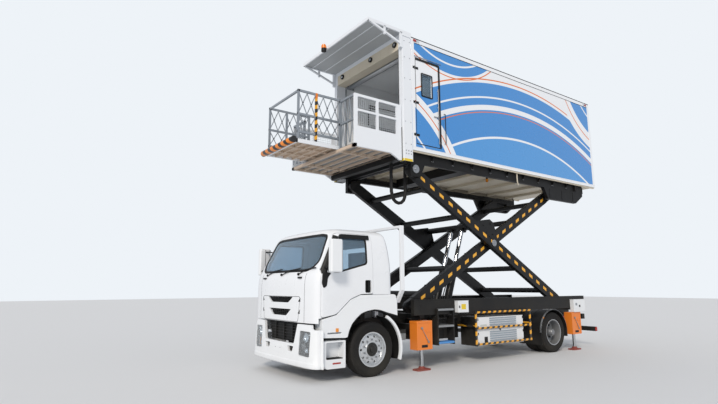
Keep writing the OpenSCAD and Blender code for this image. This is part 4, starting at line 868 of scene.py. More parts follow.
# Hazard rail
# A welded tube guard round the cabinet, painted in yellow and black bands.
# The bands are about 80 mm wide and lean; the tube has welded corners and clamp plates.
def recolour(material, colour):
    """Puts a colour or the output of a node under a finish's dust."""
    tree = material.node_tree
    dusted = next(n for n in tree.nodes if n.bl_idname == "ShaderNodeMix")
    tree.links.new(colour, dusted.inputs[6])
    return material


def striped(name, first, second, pitch, along=(1.0, 0.35, 1.0)):
    """Paint in slanting stripes of two colours, with worn edges."""
    made = finish(name, first, 0.42, 1.5, coat=0.2, dust=0.2)
    tree = made.node_tree
    place = add_node(tree, "ShaderNodeTexCoord").outputs["Object"]
    run = add_node(tree, "ShaderNodeVectorMath", {0: place, 1: along}, operation="DOT_PRODUCT").outputs["Value"]
    mask = mapped(tree, maths(tree, "PINGPONG", run, pitch), pitch * 0.49, pitch * 0.51)
    return recolour(made, blended(tree, mask, linear(first), linear(second)))


coat_node("hazard_rail", striped("hazard_bands", "#f0ab1e", "#17181a", 0.085), 1)

# Fuel tank
# A white sheet tank on the right rail, held by two steel straps, with a black filler cap.
coat_node("fuel_tank", box_white, 30)
filler = [tube([(0.85, -1.12, 0.8), (0.85, -1.175, 0.83)], 0.045, 20),
          tube([(0.85, -1.17, 0.828), (0.85, -1.187, 0.836)], 0.055, 20)]
straps = [box((x, -1.1535, 0.346), (x + 0.04, -1.15, 0.904)) for x in (0.02, 0.72)]
straps += [box((x, -1.152, 0.9002), (x + 0.04, -0.56, 0.904)) for x in (0.02, 0.72)]
fitted("tank_straps", "chassis", [(bare_steel, straps), (black_trim, filler)], slot="steel", edge_mm=1)

# Stabilisers
# Orange welded housings on the outriggers, each with a hydraulic leg that stands on a steel pad.
# The leg is hard chrome, the pad and its collar dark red primer, the link and pins bare steel.
orange_paint = finish("stabiliser_orange", "#ec801c", 0.36, 1.5, bump=0.08, coat=0.35, dust=0.1)
coat_node("stabiliser_housings", orange_paint, 6)
chrome = finish("hard_chrome", "#c9ccd0", 0.1, 0.5, bump=0.02, metallic=1.0, dust=0.1)
pad_primer = finish("red_primer", "#8c2f26", 0.6, 2.5, bump=0.3, dust=0.2)
HOUSING_FACE, LEG_Y = 1.2203, 1.12
plates, links, slots = [], [], []
for x in (1.955, -3.15):
    plates += both(box((x - 0.196, 1.0195, 0.868), (x + 0.196, 1.2265, 0.9065)))
    for a, b, low, high, proud in ((-0.194, -0.15, 0.384, 0.868, 0.006), (0.15, 0.194, 0.384, 0.868, 0.006),
                                   (-0.15, -0.035, 0.7, 0.74, 0.008)):
        plates += both(box((x + a, HOUSING_FACE - 0.001, low), (x + b, HOUSING_FACE + proud, high)))
    slots += both(box((x - 0.075, HOUSING_FACE - 0.0005, 0.42), (x + 0.075, HOUSING_FACE + 0.003, 0.47)))
    links += both(pin(x + 0.072, 0.775, HOUSING_FACE, HOUSING_FACE + 0.02, 0.024, 18),
                  pin(x - 0.09, 0.52, HOUSING_FACE, HOUSING_FACE + 0.02, 0.02, 18),
                  plate([(x + 0.085, 0.79), (x + 0.06, 0.76), (x - 0.11, 0.508), (x - 0.075, 0.53)], "y",
                        HOUSING_FACE + 0.006, HOUSING_FACE + 0.014))
fitted("housing_plates", "chassis", [(orange_paint, plates), (black_trim, slots), (bare_steel, links)], slot="orange",
       edge_mm=1.5)
for end, x in (("front", 1.955), ("rear", -3.15)):
    for side, y in (("left", LEG_Y), ("right", -LEG_Y)):
        leg, flange, neck = (tube([(x, y, low), (x, y, high)], radius, sides) for low, high, radius, sides in (
            (0.03, 0.565, 0.038, 32), (0.03, 0.058, 0.062, 28), (0.056, 0.075, 0.048, 28)))
        pad = plate(rounded(rect(x - 0.16, y - 0.09, x + 0.16, y + 0.09), 0.025), "z", 0.0005, 0.03)
        ribs = [plate([(x + d * 0.15, 0.03), (x + d * 0.05, 0.03), (x + d * 0.05, 0.056)], "y", y - 0.004, y + 0.004)
                for d in (1, -1)]
        fitted(f"jack_leg_{end}_{side}", f"stabiliser_{end}_{side}",
               [(chrome, [leg]), (pad_primer, [flange, neck, pad, *ribs])], [f"leg_{end}_{side}"], "pad_red", 1.5)

# Rear lamps
# Moulded clusters with red, amber and clear windows in a black housing, on brackets at the rails' ends.
lamp_housings, red_windows, amber_windows, clear_windows = [], [], [], []
for s in (1, -1):
    lamp_housings += [plate(rect(-4.172, 0.69, -4.05, 0.82), "y", s * RAIL_Y, s * 0.85),
                      box((-4.05, s * 0.44 - 0.01, 0.7), (-4.045, s * 0.44 + 0.01, 0.8))]
    for k, windows in enumerate((clear_windows, red_windows, amber_windows, red_windows)):
        windows.append(plate(rect(-4.1795, 0.703, -4.17, 0.807), "y", s * (0.445 + 0.1 * k), s * (0.535 + 0.1 * k)))
fitted("rear_lamp_clusters", "chassis",
       [(black_trim, lamp_housings), (red_lens, red_windows), (amber_lens, amber_windows), (reflector, clear_windows)],
       ["rear_lamps"], "lamp_red", 3)


# Lift arms
# Two pairs of welded box beams that cross at a pin, with tubes between them, track rollers and lever plates.
# They wear the same black as the chassis, with slanting orange dashes along the outer faces.
ARM_TILT = math.radians(29.358)
CROSS = (-0.38, 2.5)
OUTER_FACE, INNER_FACE = 1.0498, 0.9098
arm_paint = finish("arm_paint", "#101113", 0.4, 2.5, bump=0.12, coat=0.05, dust=0.06, specular=0.3)
dash_paint = finish("reflective_yellow", "#efae2b", 0.35, 1.0, coat=0.3, dust=0.15)
for node_name in ("arms_inner", "arms_outer"):
    coat_node(node_name, arm_paint, 5)


def on_arm(way):
    """A function that places points given along and across an arm; way is 1 for the outer pair, -1 for the inner."""
    cos, sin = math.cos(ARM_TILT) * way, math.sin(ARM_TILT)

    def place(along, y, across):
        return CROSS[0] + along * cos - across * sin * way, y, CROSS[1] + along * sin + across * abs(cos)
    return place


def placed(place, solid):
    """A solid carried over by a function that places points."""
    return [place(*p) for p in solid[0]], solid[1]


def arm_block(place, along, y, across):
    """A block set square to an arm, given as its ends along, off the vehicle's middle and across."""
    return placed(place, box(*zip(along, sorted(y), across)))


def dashes(place, face, side):
    """Slanting dashes 135 mm long on an arm's outer face."""
    return [placed(place, plate([(a, -0.03), (a + 0.135, -0.03), (a + 0.17, 0.03), (a + 0.035, 0.03)], "y",
                                side * face, side * (face + 0.0008))) for a in spaced(-2.45, 0.3, 17)]


outer, inner = on_arm(1), on_arm(-1)
outer_dashes, inner_dashes, outer_flanges, inner_flanges, pins, pipes = [], [], [], [], [], []
for s in (1, -1):
    outer_dashes += dashes(outer, 1.0502, s)
    inner_dashes += dashes(inner, 0.9102, s)
    for edges in ((0.1195, 0.127), (-0.127, -0.1195)):
        outer_flanges.append(arm_block(outer, (-2.6, 2.6), (s * 0.9502, s * OUTER_FACE), edges))
        inner_flanges.append(arm_block(inner, (-2.6, 2.6), (s * 0.8102, s * INNER_FACE), edges))
    outer_flanges += [arm_block(outer, (-0.32, 0.32), (s * OUTER_FACE, s * 1.056), edges)
                      for edges in ((-0.105, -0.045), (0.045, 0.105))]
    pins.append(pin(*CROSS, s * 1.05, s * 1.066, 0.075, 32))
    pins += [pin(CROSS[0] + 0.055 * math.cos(t), CROSS[1] + 0.055 * math.sin(t), s * 1.064, s * 1.074, 0.009)
             for t in (k * math.pi / 3 for k in range(6))]
    pipes += [tube([inner(a, s * (0.8 - 0.018 * k), 0.1 - 0.004 * math.sin(9 * a + k))
                    for a in spaced(-2.4, 0.12, 38)], 0.0075, 8) for k in range(3)]
lever_bosses = [tube([outer(a, s * 1.0199, c), outer(a, s * 1.032, c)], radius, 24) for s in (1, -1)
                for a, c, radius in ((0.25, 0.36, 0.028), (0.08, 0.18, 0.014), (0.44, 0.19, 0.014))]
pipe_clamps = [arm_block(inner, (a, a + 0.03), (s * 0.755, s * 0.8105), (0.088, 0.113)) for s in (1, -1)
               for a in (-2.1, -1.4, -0.7, 0.2, 0.9, 1.6)]
fitted("outer_arm_flanges", "arms_outer", [(arm_paint, outer_flanges + lever_bosses), (bare_steel, pins)],
       slot="arm_black", edge_mm=1.5)
fitted("inner_arm_flanges", "arms_inner", [(arm_paint, inner_flanges), (black_trim, pipes + pipe_clamps)],
       slot="arm_black", edge_mm=1.0)
fitted("outer_arm_dashes", "arms_outer", [(dash_paint, outer_dashes)], slot="orange", edge_mm=0)
fitted("inner_arm_dashes", "arms_inner", [(dash_paint, inner_dashes)], slot="orange", edge_mm=0)

# Lift cylinders
# Two thick-walled barrels with screwed gland heads; the piston rods are hard chrome and end in bearing pads.
# Black paint over the barrels, bare threads at the ports, and rubber hoses with crimped ends.
EYE, REACH, CYLINDER_Y = (0.37, 0.88), 2.175, 0.17
ROD_WAY = (-0.325741, 0.945459)
coat_node("cylinder_barrels", arm_paint, 4)


def on_rod(along, y, across=0.0):
    """A point along a cylinder from its lower eye; across is forward of its axis."""
    return EYE[0] + along * ROD_WAY[0] + across * ROD_WAY[1], y, EYE[1] + along * ROD_WAY[1] - across * ROD_WAY[0]


heads, hoses, rods, pads = [], [], [], []
for y in (CYLINDER_Y, -CYLINDER_Y):
    def sleeve(start, end, radius, sides=40, y=y):
        """A round part about the cylinder's axis."""
        return tube([on_rod(start, y), on_rod(end, y)], radius, sides)

    bore = sleeve(1.0, 1.3, 0.0486)
    heads += [shaped(sleeve(1.085, 1.15, 0.0945), bore), shaped(sleeve(1.15, 1.1805, 0.088), bore),
              sleeve(0.16, 0.2, 0.0945), tube([on_rod(0.23, y, 0.08), on_rod(0.23, y, 0.115)], 0.024, 18)]
    hoses.append(tube([on_rod(along, y, across) for along, across in (
        (0.23, 0.112), (0.25, 0.15), (0.35, 0.165), (0.6, 0.15), (0.86, 0.12), (0.98, 0.095), (1.05, 0.083))], 0.013,
                      12))
    rods.append(sleeve(1.12, REACH - 0.101, 0.0476))
    foot = plate(rounded(rect(-0.095, y - 0.065, 0.095, y + 0.065), 0.015), "z", 0.0, 0.03)
    pads += [sleeve(REACH - 0.106, REACH - 0.1003, 0.058, 32),
             ([on_rod(REACH - 0.1003 + up, across, forward) for forward, across, up in foot[0]], foot[1])]
fitted("barrel_heads", "cylinder_barrels", [(arm_paint, heads), (rubber_seal, hoses)], slot="arm_black", edge_mm=1.5)
fitted("piston_rods", "cylinder_rods", [(chrome, rods), (arm_paint, pads)], ["cylinder_rods"], "rod_steel", 1.5)


# Frame under the van body
# Deep folded beams in black right under the floor, with hangers for the pivots and tracks for the rollers.
# The floor's underside is cream sheet; gussets, bolts, a loom, a drain pipe and a small lamp sit along the beams.
cream_paint = finish("cream_chassis_paint", "#d9cfbb", 0.5, 2.0, bump=0.1, dust=0.15)


def within(tree, value, low, high):
    """1 where a value lies between two limits, with an edge of 3 mm."""
    over = mapped(tree, value, low - 0.0015, low + 0.0015)
    return maths(tree, "MULTIPLY", over, mapped(tree, value, high - 0.0015, high + 0.0015, 1.0, 0.0))


def place_of(tree):
    """The three coordinates of a shaded point, in the vehicle's frame."""
    return add_node(tree, "ShaderNodeSeparateXYZ",
                    {0: add_node(tree, "ShaderNodeTexCoord").outputs["Object"]}).outputs


def bearer_paint():
    """Black paint, with the floor's own shallow ribs in cream."""
    made = finish("bearer_paint", "#101113", 0.46, 3.0, bump=0.15, dust=0.1, specular=0.25)
    tree = made.node_tree
    x, y, z = place_of(tree)
    off_middle = maths(tree, "ABSOLUTE", y)
    mask = maths(tree, "ADD", within(tree, x, -3.95, 0.3), within(tree, x, 0.66, 1.6))
    for limit in (within(tree, off_middle, -1.0, 1.0595), within(tree, z, 4.1, 4.3)):
        mask = maths(tree, "MULTIPLY", mask, limit)
    return recolour(made, blended(tree, mask, linear("#101113"), linear("#cfc5b1")))


coat_node("van_frame", bearer_paint(), 4)
FLOOR_Z, PIVOT = 4.2, (2.02, 3.85)
floor_sheets = [box((-4.48, -1.238, FLOOR_Z - 0.003), (2.165, 1.238, FLOOR_Z - 0.0002))]
floor_sheets += [box((-4.47, s * 1.215 - 0.02, FLOOR_Z - 0.03), (2.165, s * 1.215 + 0.02, FLOOR_Z - 0.0025))
                 for s in (1, -1)]
gussets, bolts, loom = [], [], []
for s in (1, -1):
    for x in spaced(1.564, -0.6, 9):
        web = [(s * 1.1496, 4.03), (s * 1.1496, 4.197), (s * 1.228, 4.197), (s * 1.228, 4.178)]
        gussets += [plate(web, "x", x - 0.005, x + 0.005),
                    plate(rect(s * 1.1496, 4.02, s * 1.156, 4.197), "x", x - 0.03, x + 0.03)]
        bolts += [pin(x + t, 4.06, s * 1.156, s * 1.165, 0.009) for t in (-0.018, 0.018)]
    bolts += [pin(*PIVOT, s * 1.1495, s * 1.166, 0.085, 32), pin(*PIVOT, s * 1.166, s * 1.177, 0.03)]
    bolts += [pin(PIVOT[0] + 0.062 * math.cos(t), PIVOT[1] + 0.062 * math.sin(t), s * 1.165, s * 1.173, 0.009)
              for t in (k * math.pi / 3 for k in range(6))]
    gussets += [box((-4.02, s * 1.105 - 0.05, 3.985), (-4.0, s * 1.105 + 0.05, 4.15)),
                box((-3.64, s * 1.175 - 0.022, 4.02), (-3.6, s * 1.175 + 0.022, 4.197)),
                *(plate(rect(x, 3.716, x + 0.02, 3.974), "y", *sorted((s * 1.149, s * 1.156)))
                  for x in (-3.55, -3.05, -2.52))]
    loom += [tube([(2.05 - 0.12 * i, s * (1.05 - 0.004 * math.sin(1.9 * i)), 4.09 + 0.006 * math.sin(1.3 * i))
                   for i in range(50)], 0.014, 10),
             tube([(2.05 - 0.12 * i, s * 1.046, 4.05 + 0.004 * math.sin(1.7 * i)) for i in range(50)], 0.009, 8)]
loom_clips = [box((x - 0.01, s * 1.052 - 0.022, 4.03), (x + 0.01, s * 1.052 + 0.008, 4.112))
              for x in spaced(1.6, -0.6, 9) for s in (1, -1)]
drain = tube([(-1.15, 1.196, 4.197), (-1.15, 1.196, 4.12), (-1.152, 1.194, 4.06), (-1.162, 1.188, 4.0),
              (-1.185, 1.18, 3.94), (-1.21, 1.174, 3.905)], 0.014, 12)
lamp_stem = [tube([(-0.85, 0.55, 4.197), (-0.85, 0.55, 4.11)], 0.026, 20),
             box((-0.885, 0.515, 4.188), (-0.815, 0.585, 4.197))]
lamp_cap = [tube([(-0.85, 0.55, 4.112), (-0.85, 0.55, 4.05)], 0.032, 20),
            tube([(-0.85, 0.55, 4.05), (-0.85, 0.55, 4.04)], 0.022, 20)]
fitted("floor_underside", "van",
       [(cream_paint, [*floor_sheets, drain]), (chassis_paint, gussets), (bare_steel, bolts), (rubber_seal, loom),
        (black_trim, loom_clips + lamp_stem), (amber_lens, lamp_cap)],
       slot="frame_black", edge_mm=1.2)

# Van body
# A box of bonded panels with a white aluminium frame at every edge, riveted, on a cream floor.
# The sides carry a painted design of blue sweeps, thin white lines and orange lines on white.
van_white = finish("panel_white", "#eef1f5", 0.34, 1.5, bump=0.03, coat=0.4, dust=0.05)
BACK_X, FACE_X, VAN_Y, VAN_TOP = -4.49, 2.17, 1.25, 6.59
WHITE, BLUE, PALE_BLUE, ORANGE = "#eef1f5", "#3a8ad2", "#4a97da", "#e0742c"


def livery():
    """White panels with sweeps of blue between circles, drawn in the side's own plane."""
    made = finish("side_livery", WHITE, 0.26, 1.5, bump=0.02, coat=0.6, dust=0.04)
    tree = made.node_tree
    x, y, z = place_of(tree)

    def radius(*centre):
        """Distance from a centre, in metres."""
        across, up = (maths(tree, "POWER", maths(tree, "SUBTRACT", value, middle), 2.0)
                      for value, middle in zip((x, z), centre))
        return maths(tree, "SQRT", maths(tree, "ADD", across, up))

    hill, crest, bow, cap = radius(-1.35, -1.0), radius(3.35, 3.0), radius(-5.3, 7.6), radius(1.05, 8.15)
    paint = linear(WHITE)
    layers = [(BLUE, [(cap, 0.0, 2.08)]), (WHITE, [(cap, 1.84, 1.88)]), (ORANGE, [(cap, 2.14, 2.165)]),
              (BLUE, [(hill, 0.0, 7.26)]), (PALE_BLUE, [(hill, 0.0, 5.95)]),
              (WHITE, [(hill, 5.95, 6.0), (hill, 6.62, 6.74), (hill, 6.9, 6.94)]),
              (ORANGE, [(hill, 7.33, 7.36), (hill, 6.56, 6.58)])]
    for centre, white, blue, line, orange in ((crest, 2.72, (1.6, 2.45), (1.95, 1.99), (2.56, 2.585)),
                                              (bow, 2.45, (0.9, 2.05), (1.62, 1.66), (2.22, 2.25))):
        layers += [(WHITE, [(centre, 0.0, white)]), (BLUE, [(centre, *blue)]), (WHITE, [(centre, *line)]),
                   (ORANGE, [(centre, *orange)])]
    for colour, bands in layers:
        mask = within(tree, *bands[0])
        for band in bands[1:]:
            mask = maths(tree, "ADD", mask, within(tree, *band))
        paint = blended(tree, mask, paint, linear(colour))
    outer_face = mapped(tree, maths(tree, "ABSOLUTE", y), VAN_Y - 0.004, VAN_Y - 0.003)
    return recolour(made, blended(tree, outer_face, linear("#e3e6ea"), paint))


livery_paint = livery()
coat_node("van_shell", livery_paint, 3)
coat_node("side_door", livery_paint, 2)


def on_sides(x0, z0, x1, z1, near, far):
    """A strip on each side of the body, from one height over its skin to another."""
    return [plate(rect(x0, z0, x1, z1), "y", *sorted((s * (VAN_Y + near), s * (VAN_Y + far)))) for s in (1, -1)]


edge_frames = [strip for corners, far in (
    ((BACK_X, 4.2, FACE_X, 4.275), 0.0045), ((BACK_X, 6.49, FACE_X, VAN_TOP), 0.0045),
    ((BACK_X, 4.275, BACK_X + 0.09, 6.49), 0.0045), ((FACE_X - 0.08, 4.275, FACE_X, 6.49), 0.0045),
    ((BACK_X, 4.262, FACE_X, 4.275), 0.0075)) for strip in on_sides(*corners, 0, far)]
# Black lines on each side's top frame: a thin one at the panels' top edge, and a strip 20 mm deep just under the roof's
# edge.
dark_frame_lines = on_sides(BACK_X + 0.09, 6.482, FACE_X - 0.08, 6.4905, 0, 0.006)
dark_frame_lines += on_sides(BACK_X, 6.574, FACE_X, 6.5935, 0, 0.006)
rivets = [pin(x, z, s * (VAN_Y + 0.004), s * (VAN_Y + 0.0065), 0.005) for s in (1, -1)
          for x in spaced(BACK_X + 0.045, 0.12, 55) for z in (4.237, 6.515)]
lamps_red, lamps_clear = ([strip for x in places
                           for strip in on_sides(x - 0.04, 6.512, x + 0.04, 6.56, 0.0044, 0.014)]
                          for places in ((FACE_X - 0.1, BACK_X + 0.16), (FACE_X - 0.18, BACK_X + 0.24)))
roof = [box((BACK_X, s * 1.18 - 0.05, VAN_TOP), (FACE_X, s * 1.18 + 0.05, 6.5945)) for s in (1, -1)]
roof += [box((x, -1.13, VAN_TOP), (x + 0.04, 1.13, 6.5945)) for x in spaced(BACK_X + 0.25, 0.62, 11)]
back = [plate(rect(y0, z0, y1, z1), "x", BACK_X - 0.004, BACK_X) for y0, z0, y1, z1 in (
    (-1.25, 6.4, 1.25, VAN_TOP), (-1.25, 4.2, 1.25, 4.316), (1.1, 4.316, 1.25, 6.4), (-1.25, 4.316, -1.1, 6.4))]
fitted("body_frames", "van",
       [(van_white, edge_frames + rivets + roof + back), (black_trim, dark_frame_lines), (red_lens, lamps_red),
        (lens_clear, lamps_clear)], slot="body_white", edge_mm=0.8)

# Lining of the body
# Pale panels on every side but the shutter's, load rails, a shutter drum, roof lamps and a metal wear sheet.
lining = finish("lining_panel", "#f4f6f7", 0.5, 3.0, bump=0.1, dust=0.05)
wear_floor = finish("floor_sheet", "#b9bdc1", 0.5, 2.5, bump=0.4, metallic=0.3, dust=0.1)
ROOM_BACK, ROOM_FRONT = BACK_X + 0.0605, FACE_X - 0.002
walls = [box((ROOM_BACK, -1.1899, 4.3205), (ROOM_FRONT, -1.1871, 6.5285)),
         box((ROOM_BACK, 1.1871, 4.3205), (1.374, 1.1899, 6.5285)),
         box((1.374, 1.1871, 6.178), (ROOM_FRONT, 1.1899, 6.5285)),
         box((ROOM_BACK, -1.187, 6.5268), (ROOM_FRONT, 1.187, 6.5296))]
tracks = [box((BACK_X + 0.07, s * 1.1805 - 0.006, z), (1.36, s * 1.1805 + 0.006, z + 0.1)) for s in (1, -1)
          for z in (4.72, 5.42)]
drum = [pin(1.98, 6.4, -1.18, 1.18, 0.085, 28), box((1.88, -1.186, 6.3), (2.09, -1.17, 6.526)),
        box((1.88, 1.17, 6.3), (2.09, 1.186, 6.526))]
roof_lamps = [box((x - 0.6, -0.06, 6.5), (x + 0.6, 0.06, 6.5275)) for x in (-3.2, -1.2, 0.8)]
blank_notice = box((-0.2, -1.1872, 5.72), (0.02, -1.1858, 5.96))
wall_pipes = [tube([(1.3, -1.165, 5.98), (0.9, -1.165, 6.02), (-3.9, -1.165, 6.02)], 0.016, 12),
              tube([(1.45, -1.165, 5.5), (1.45, -1.165, 5.86), (1.3, -1.165, 5.98)], 0.016, 12),
              box((1.2, -1.187, 5.93), (1.42, -1.14, 6.03)), box((0.3, -1.187, 5.97), (0.36, -1.145, 6.05))]
sheet = box((ROOM_BACK, -1.186, 4.3203), (ROOM_FRONT, 1.186, 4.3235))
fitted("body_lining", "van",
       [(lining, walls), (alloy_strip, tracks + drum), (wear_floor, [sheet]), (reflector, roof_lamps),
        (label_yellow, [blank_notice]), (black_trim, wall_pipes)], slot="platform_white", edge_mm=0)

# Side door
# A hinged panel with a black rubber seal all round, a framed window, two lock bars and strap hinges.
# The bars and handles are zinc-plated; the window is clear glass in a black frame.
DOOR_SKIN = 1.2502
DOOR_X, DOOR_Z = (1.38, 2.07), (4.34, 6.17)


def on_door(x0, z0, x1, z1, proud):
    """A block on the side door's skin, up to a distance off the vehicle's middle."""
    return plate(rect(x0, z0, x1, z1), "y", DOOR_SKIN, proud)


frame_strips = [on_door(DOOR_X[0] - 0.004, DOOR_Z[0] + 0.02, DOOR_X[0] + 0.044, DOOR_Z[1] - 0.04, 1.259),
                on_door(DOOR_X[0] + 0.04, DOOR_Z[1] - 0.05, DOOR_X[1] - 0.002, DOOR_Z[1] - 0.002, 1.259),
                plate([(DOOR_X[0] + x, DOOR_Z[1] + z) for x, z in (
                    (-0.004, -0.045), (0.036, -0.045), (0.045, -0.04), (0.045, -0.002), (0.006, -0.01))], "y",
                      DOOR_SKIN, 1.259),
                on_door(DOOR_X[1] - 0.012, DOOR_Z[0], DOOR_X[1] - 0.002, DOOR_Z[1] - 0.034, 1.254),
                on_door(DOOR_X[0], DOOR_Z[0], DOOR_X[1] - 0.002, DOOR_Z[0] + 0.012, 1.254)]
window = rect(1.595, 5.365, 1.915, 5.875)
window_frame = shaped(plate(rounded(window, 0.03), "y", DOOR_SKIN, 1.262),
                      plate(rounded(inset(window, 0.022), 0.02), "y", 1.2, 1.3))
window_pane = plate(inset(window, 0.017), "y", 1.218, 1.223)
bars = [tube([(1.445, 1.264, 4.42), (1.445, 1.264, 5.62)], 0.008, 12)]
bars += [on_door(1.433, z, 1.457, z + 0.03, 1.268) for z in (4.44, 4.86, 5.2, 5.56)]
bars += [box((1.458, 1.258, 4.985), (1.575, 1.268, 5.005)), box((1.435, 1.255, 4.975), (1.47, 1.271, 5.015))]
HINGES_Z = (4.5, 5.18, 5.92)
hinge_leaves = [on_door(1.985, z, 2.064, z + 0.05, 1.2555) for z in HINGES_Z]
fitted("side_door_trim", "side_door",
       [(rubber_seal, frame_strips), (black_trim, [window_frame, *hinge_leaves]), (bare_steel, bars)],
       slot="dark_plastic", edge_mm=1)
fitted("side_door_pane", "side_door", [(window_glass, [window_pane])], slot="glass", edge_mm=0)
grab = tube([(1.275, 1.2545, 4.46), (1.275, 1.285, 4.47), (1.275, 1.285, 5.1), (1.275, 1.2545, 5.11)], 0.009, 12)
drip = box((1.33, 1.2545, 6.195), (2.1, 1.268, 6.203))
hinge_pins = [tube([(2.092, 1.259, z - 0.01), (2.092, 1.259, z + 0.06)], 0.007, 12) for z in HINGES_Z]
hinge_pins += [on_door(2.088, z, 2.136, z + 0.05, 1.2555) for z in HINGES_Z]
fitted("side_door_frame", "van", [(black_trim, [*hinge_pins, grab]), (alloy_strip, [drip])], slot="dark_plastic",
       edge_mm=0.8)

# Rear shutter and buffers
# Slatted aluminium shutter in side channels, and two ribbed rubber buffers on the rear sill.
slats = [box((-4.481, -1.0997, z), (-4.452, 1.0997, z + 0.0759)) for z in spaced(4.3303, 0.0788, 26)]
slats.append(box((-4.476, -1.099, 4.331), (-4.458, 1.099, 6.379)))
pull = box((-4.489, -0.1, 4.42), (-4.481, 0.1, 4.45))
fitted("shutter_slats", "van", [(alloy_strip, slats), (black_trim, [pull])], ["rear_shutter"], "platform_white", 3)
buffers = both(box((-4.505, 0.8, 4.21), (-4.4903, 1.0, 4.29)),
               *(plate([(-4.503, z), (-4.54, z + 0.006), (-4.54, z + 0.016), (-4.503, z + 0.022)], "y", 0.8, 1.0)
                 for z in (4.212, 4.239, 4.266)))
fitted("buffer_blocks", "van", [(rubber_seal, buffers)], ["rear_buffers"], "rubber", 2)

# Shutter header and its lamps
# A folded cream box between the portal posts that holds the rolled shutter, with three round work lamps.
coat_node("shutter_header", cream_paint, 6)
lamp_bodies, lamp_faces = ([tube([(back_x, y, 6.43), (front_x, y, 6.43)], radius, sides) for y in (-0.9, 0.2, 1.02)]
                           for back_x, front_x, radius, sides in ((2.399, 2.428, 0.058, 28), (2.427, 2.4295, 0.03, 24)))
straps = [box((2.3995, y - 0.014, 6.292), (2.403, y + 0.014, 6.518)) for y in (-0.62, -0.25, 0.52, 0.8)]
straps.append(box((2.3995, -1.119, 6.2905), (2.4055, 1.119, 6.31)))
guide = [box((2.12, s * 1.168 - 0.016, 4.322), (2.168, s * 1.168 + 0.016, 6.5)) for s in (1, -1)]
fitted("header_lamps", "van",
       [(black_trim, lamp_bodies), (reflector, lamp_faces), (cream_paint, straps), (alloy_strip, guide)],
       slot="beige", edge_mm=1)

# Portal
# White welded posts that the platform's carriage runs on, bolted to the body through foot plates.
# Each foot has a strip of yellow tape, and a black seal runs down the inner edge.
portal_white = finish("structure_white", "#e9edf2", 0.33, 1.5, bump=0.05, coat=0.4, dust=0.06)
coat_node("portal", portal_white, 6)
slots, tapes, post_bolts = [], [], []
for s in (1, -1):
    slots += [box((2.395, s * 1.127 - 0.005, 4.6), (2.4015, s * 1.127 + 0.005, 6.28)),
              box((2.1725, s * 1.185 - 0.064, 3.9465), (2.3985, s * 1.185 + 0.064, 3.951))]
    tapes += [plate(rect(2.185, 3.952, 2.392, 4.0), "y", s * DOOR_SKIN, s * 1.253),
              box((2.398, s * 1.187 - 0.06, 3.952), (2.403, s * 1.187 + 0.06, 4.0))]
    for heights, places, proud, radius in (((4.3, 4.75, 5.2, 5.65, 6.1, 6.45), (2.215, 2.355), 1.2575, 0.009),
                                           ((4.1, 4.16), (2.22, 2.285, 2.35), 1.26, 0.012)):
        post_bolts += [pin(x, z, s * VAN_Y, s * proud, radius) for z in heights for x in places]
fitted("portal_fittings", "van", [(black_trim, slots), (label_yellow, tapes), (bare_steel, post_bolts)],
       slot="platform_white", edge_mm=0.8)

# Canopy and beacon
# A white sheet roof on the portal, braced on both sides; its underside is grey panel with two seams.
# The beacon on its front edge has an amber polycarbonate dome on a black base.
under_panel = finish("canopy_panel", "#b2b6b9", 0.45, 2.5, bump=0.1, dust=0.05)
amber_glow = finish("amber_polycarbonate", "#f0801e", 0.32, 3.0, coat=0.2, dust=0.05)
roof_parts = [box((x0, -half, z0), (x1, half, z1)) for x0, x1, half, z0, z1 in (
    (2.1703, 3.27, 1.26, 6.615, 6.665), (2.1703, 2.4, 1.26, 6.5503, 6.616), (2.7, 2.72, 1.25, 6.603, 6.616),
    (3.03, 3.05, 1.25, 6.603, 6.616), (3.24, 3.27, 1.26, 6.598, 6.616))]
roof_parts.append(box((3.269, -0.3, 6.62), (3.29, -0.2, 6.66)))
roof_parts += both(box((2.4003, 1.221, 6.29), (2.46, 1.26, 6.616)), box((2.83, 1.221, 6.44), (2.87, 1.26, 6.616)),
                   plate([(2.426, 6.341), (2.414, 6.379), (3.234, 6.639), (3.246, 6.601)], "y", 1.222, 1.259),
                   box((2.4, 1.225, 6.598), (3.262, 1.26, 6.616)))
stays = [pin(x, 6.585, s * 1.2598, s * 1.264, 0.008) for s in (1, -1) for x in (2.43, 2.85, 3.2)]
panels = [box((x0, -1.224, 6.6105), (x1, 1.224, 6.6155))
          for x0, x1 in ((2.402, 2.6995), (2.7205, 3.0295), (3.0505, 3.2395))]


def upright(low, high, radius):
    """A round part of the beacon, from one height to another."""
    return tube([(3.33, -0.25, low), (3.33, -0.25, high)], radius, 36)


beacon_base = [upright(6.545, 6.604, 0.055), box((3.285, -0.285, 6.628), (3.3, -0.215, 6.652)),
               upright(6.604, 6.616, 0.05)]
beacon_dome = [upright(6.614, 6.664, 0.0545), upright(6.664, 6.686, 0.049), upright(6.686, 6.7048, 0.036)]
fitted("canopy_roof", "van",
       [(portal_white, roof_parts), (under_panel, panels), (bare_steel, stays), (black_trim, beacon_base),
        (amber_glow, beacon_dome)], ["canopy"], "platform_white", 2)
